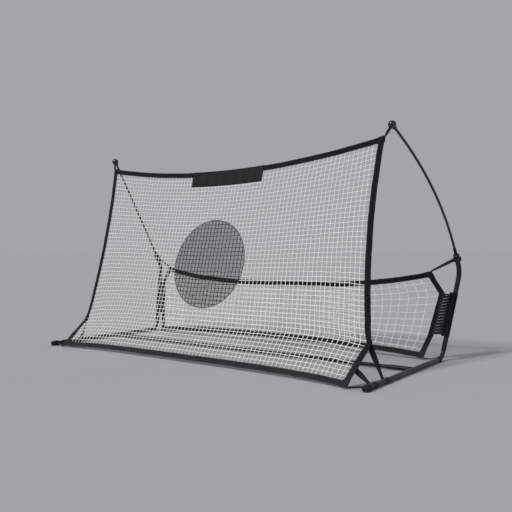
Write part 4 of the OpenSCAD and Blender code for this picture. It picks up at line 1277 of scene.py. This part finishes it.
patchPlaces = []
for which in ("front", "rear"):
    slack = patch["lip"] / surfaces[which][2](1)
    for v0, way in ((-slack, 1), (1 + slack, -1)):
        patchPlaces.append((which, patch["size"], patch["size"], v0, way, cornerLift))
for v, tall in ((kneeV, patch["knee"]), (shortV, patch["knee"] * patch["short"])):
    low = v - tall / 2 / frontLength(1)
    deep, lift = edgeWidth("front", v) + patch["overlap"], tape["thick"] / 2 + patch["strapLift"]
    patchPlaces.append(("front", deep, tall, low, 1, lift))
cloths, seams = [], []
for place in patchPlaces:
    cloth, seam = makePatch(*place)
    cloths += [cloth, mirroredPart(cloth)]
    for part in seam:
        seams += [part, mirroredPart(part)]
newPiece("cornerPatches", joined(cloths), "black_webbing")
stitchPiece("patchStitches", seams)
print("patches made")

# eyelets, modelled once for each size


def selectWhere(test):
    # in edit mode: the edges whose two ends pass the test
    bpy.ops.object.mode_set(mode="OBJECT")
    mesh = bpy.context.object.data
    for vertex in mesh.vertices:
        vertex.select = bool(test(vertex.co))
    for edge in mesh.edges:
        edge.select = all(mesh.vertices[i].select for i in edge.vertices)
    bpy.ops.object.mode_set(mode="EDIT")


def finishWith(kind, **settings):
    # a modifier, applied
    piece = bpy.context.object
    modifier = piece.modifiers.new(kind.lower(), kind)
    for key, value in settings.items():
        setattr(modifier, key, value)
    bpy.ops.object.modifier_apply(modifier=modifier.name)


def finishPattern(material):
    piece = bpy.context.object
    facesOutward(piece.data)
    piece.data.shade_smooth()
    piece.data.materials.append(material)
    return piece


def makeEyelet(name, bore, flange, height, count):
    # a rolled barrel with a flange on either face
    roll, lip = eyelet["roll"], eyelet["lip"]
    steps = ((roll, eyelet["rise"]), (flange * lip / bore / roll, 0.0), (1 / lip, -eyelet["drop"]))
    bpy.ops.object.select_all(action="DESELECT")
    bpy.ops.mesh.primitive_cylinder_add(
        vertices=count, radius=bore, depth=height * 2, end_fill_type="NOTHING")
    bpy.context.object.name = name
    bpy.ops.object.mode_set(mode="EDIT")
    bpy.ops.mesh.select_mode(type="EDGE")
    for end in (1, -1):
        selectWhere(lambda co: co.z * end > height * 0.9)
        for grow, rise in steps:
            bpy.ops.mesh.extrude_region_move(TRANSFORM_OT_translate={"value": (0, 0, rise * end)})
            bpy.ops.transform.resize(value=(grow, grow, 1), center_override=(0, 0, 0))
    bpy.ops.object.mode_set(mode="OBJECT")
    finishWith("SOLIDIFY", thickness=eyelet["thick"], offset=0)
    return finishPattern(eyeletMetal)


def placeCopies(pattern, labels, matrices):
    # each copy gets its own mesh, turned onto its place
    for label, matrix in zip(labels, matrices):
        copy = pattern.copy()
        copy.data = pattern.data.copy()
        copy.name = copy.data.name = pattern.name + label
        bpy.context.scene.collection.objects.link(copy)
        copy.data.transform(matrix)
        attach(copy, "frame")
    bpy.data.objects.remove(pattern)


def placeEyelets(pattern, places):
    matrices = []
    for spot, axis in places:
        for left in (False, True):
            turned = Vector(mirrored(axis, left)).to_track_quat("Z", "Y").to_matrix().to_4x4()
            matrices.append(Matrix.Translation(Vector(mirrored(spot, left))) @ turned)
    placeCopies(pattern, map(str, range(len(matrices))), matrices)


placeEyelets(
    makeEyelet("cornerEyelet", eyelet["bore"], eyelet["flange"], cornerLift, 24),
    [cornerHole(which, 0)[:2] for which in ("front", "rear")])
placeEyelets(
    makeEyelet("lacingEyelet", eyelet["laceBore"], eyelet["laceFlange"], tape["thick"] / 2 + 0.0001, 12),
    [laceHole(k) for k in range(lace["strands"] + 1)])
print("eyelets made")

# weld beads where the crossbar's stubs meet the side tubes
weld = {"beadR": 0.0017, "ripple": 0.0005, "grain": 0.004}


def makeWelds():
    # two half ellipses, each in a plane at 45 degrees, follow the seam of two equal tubes
    bpy.ops.object.select_all(action="DESELECT")
    bpy.ops.mesh.primitive_torus_add(
        major_segments=64, minor_segments=10, major_radius=rig["tubeR"], minor_radius=weld["beadR"],
        rotation=(0, math.pi / 2, 0))
    piece = bpy.context.object
    piece.name = "weld"
    bpy.ops.object.transform_apply(location=False, rotation=True, scale=False)
    bpy.ops.object.mode_set(mode="EDIT")
    bpy.ops.mesh.select_all(action="SELECT")
    bpy.ops.transform.resize(value=(1, math.sqrt(2), 1), center_override=(0, 0, 0))
    bpy.ops.mesh.bisect(plane_co=(0, 0, 0), plane_no=(0, 1, 0), clear_inner=True)
    bpy.ops.mesh.select_all(action="SELECT")
    bpy.ops.transform.rotate(value=-math.pi / 4, orient_axis="Z", center_override=(0, 0, 0))
    bpy.ops.object.mode_set(mode="OBJECT")
    if sum(v.co.x for v in piece.data.vertices) > 0:
        piece.data.transform(Matrix.Scale(-1, 4, (1, 0, 0)))
    finishWith("MIRROR", use_axis=(False, True, False), merge_threshold=0.0006)
    bumps = bpy.data.textures.new("weldRipple", "CLOUDS")
    bumps.noise_scale = weld["grain"]
    finishWith("DISPLACE", texture=bumps, strength=weld["ripple"], texture_coords="LOCAL")
    finishWith("SUBSURF", levels=1, render_levels=1)
    seat = rowPoint((rig["sideX"], rig["crossY"], rig["tubeZ"]))
    turned = Matrix.Translation(mirrored(seat)) @ Matrix.Rotation(math.pi, 4, "Z")
    pattern = finishPattern(materials["black_steel"])
    placeCopies(pattern, ("Left", "Right"), (turned, Matrix.Translation(seat)))


makeWelds()
print("welds made")

# floor, backdrop and light
studio = {
    "floor": (0.405, 0.425, 0.445), "sky": 0.42,
    "sun": 2.35, "sunAngle": 7.0, "sunFrom": (-0.34, -1.0, 0.86), "sunColour": (1.0, 0.99, 0.97),
}


def makeStage():
    material, tree, place, _ = newMaterial("studioFloor", 0.9, Specular_IOR_Level=0.0)
    tone = patchy(tree, place, 1.3, detail=3.0)
    finished(material, blendColours(tree, tone, scaled(studio["floor"], 0.985), studio["floor"]))
    bpy.ops.mesh.primitive_plane_add(size=600, location=(0, 0, -0.0002))
    floor = bpy.context.object
    floor.name = "studioFloor"
    floor.data.materials.append(material)


def makeWorld():
    # even light from all round; the camera and reflections see the backdrop's own tone
    world = bpy.data.worlds.new("studioWorld")
    world.use_nodes = True
    bpy.context.scene.world = world
    tree = world.node_tree
    lighting, out = tree.nodes["Background"], tree.nodes["World Output"]
    lighting.inputs["Color"].default_value = (1, 1, 1, 1)
    lighting.inputs["Strength"].default_value = studio["sky"]
    level = studio["sky"] + studio["sun"] * unit(studio["sunFrom"])[2] / math.pi
    backdrop = {"Color": (*scaled(studio["floor"], level), 1), "Strength": 1.0}
    seen = addNode(tree, "ShaderNodeBackground", backdrop)
    paths = addNode(tree, "ShaderNodeLightPath").outputs
    shown = maths(tree, "MAXIMUM", paths["Is Camera Ray"], paths["Is Glossy Ray"])
    shown = maths(tree, "MAXIMUM", shown, paths["Is Transmission Ray"])
    both = addNode(tree, "ShaderNodeMixShader", {0: shown, 1: lighting.outputs[0], 2: seen.outputs[0]})
    tree.links.new(both.outputs[0], out.inputs["Surface"])


def makeSun():
    data = bpy.data.lights.new("keyLight", "SUN")
    data.energy, data.angle = studio["sun"], math.radians(studio["sunAngle"])
    data.color = studio["sunColour"]
    lamp = bpy.data.objects.new("keyLight", data)
    bpy.context.scene.collection.objects.link(lamp)
    lamp.rotation_euler = (-Vector(studio["sunFrom"])).to_track_quat("-Z", "Y").to_euler()


makeStage()
makeWorld()
makeSun()
bpy.context.scene.view_settings.view_transform = "Standard"
print("stage made")
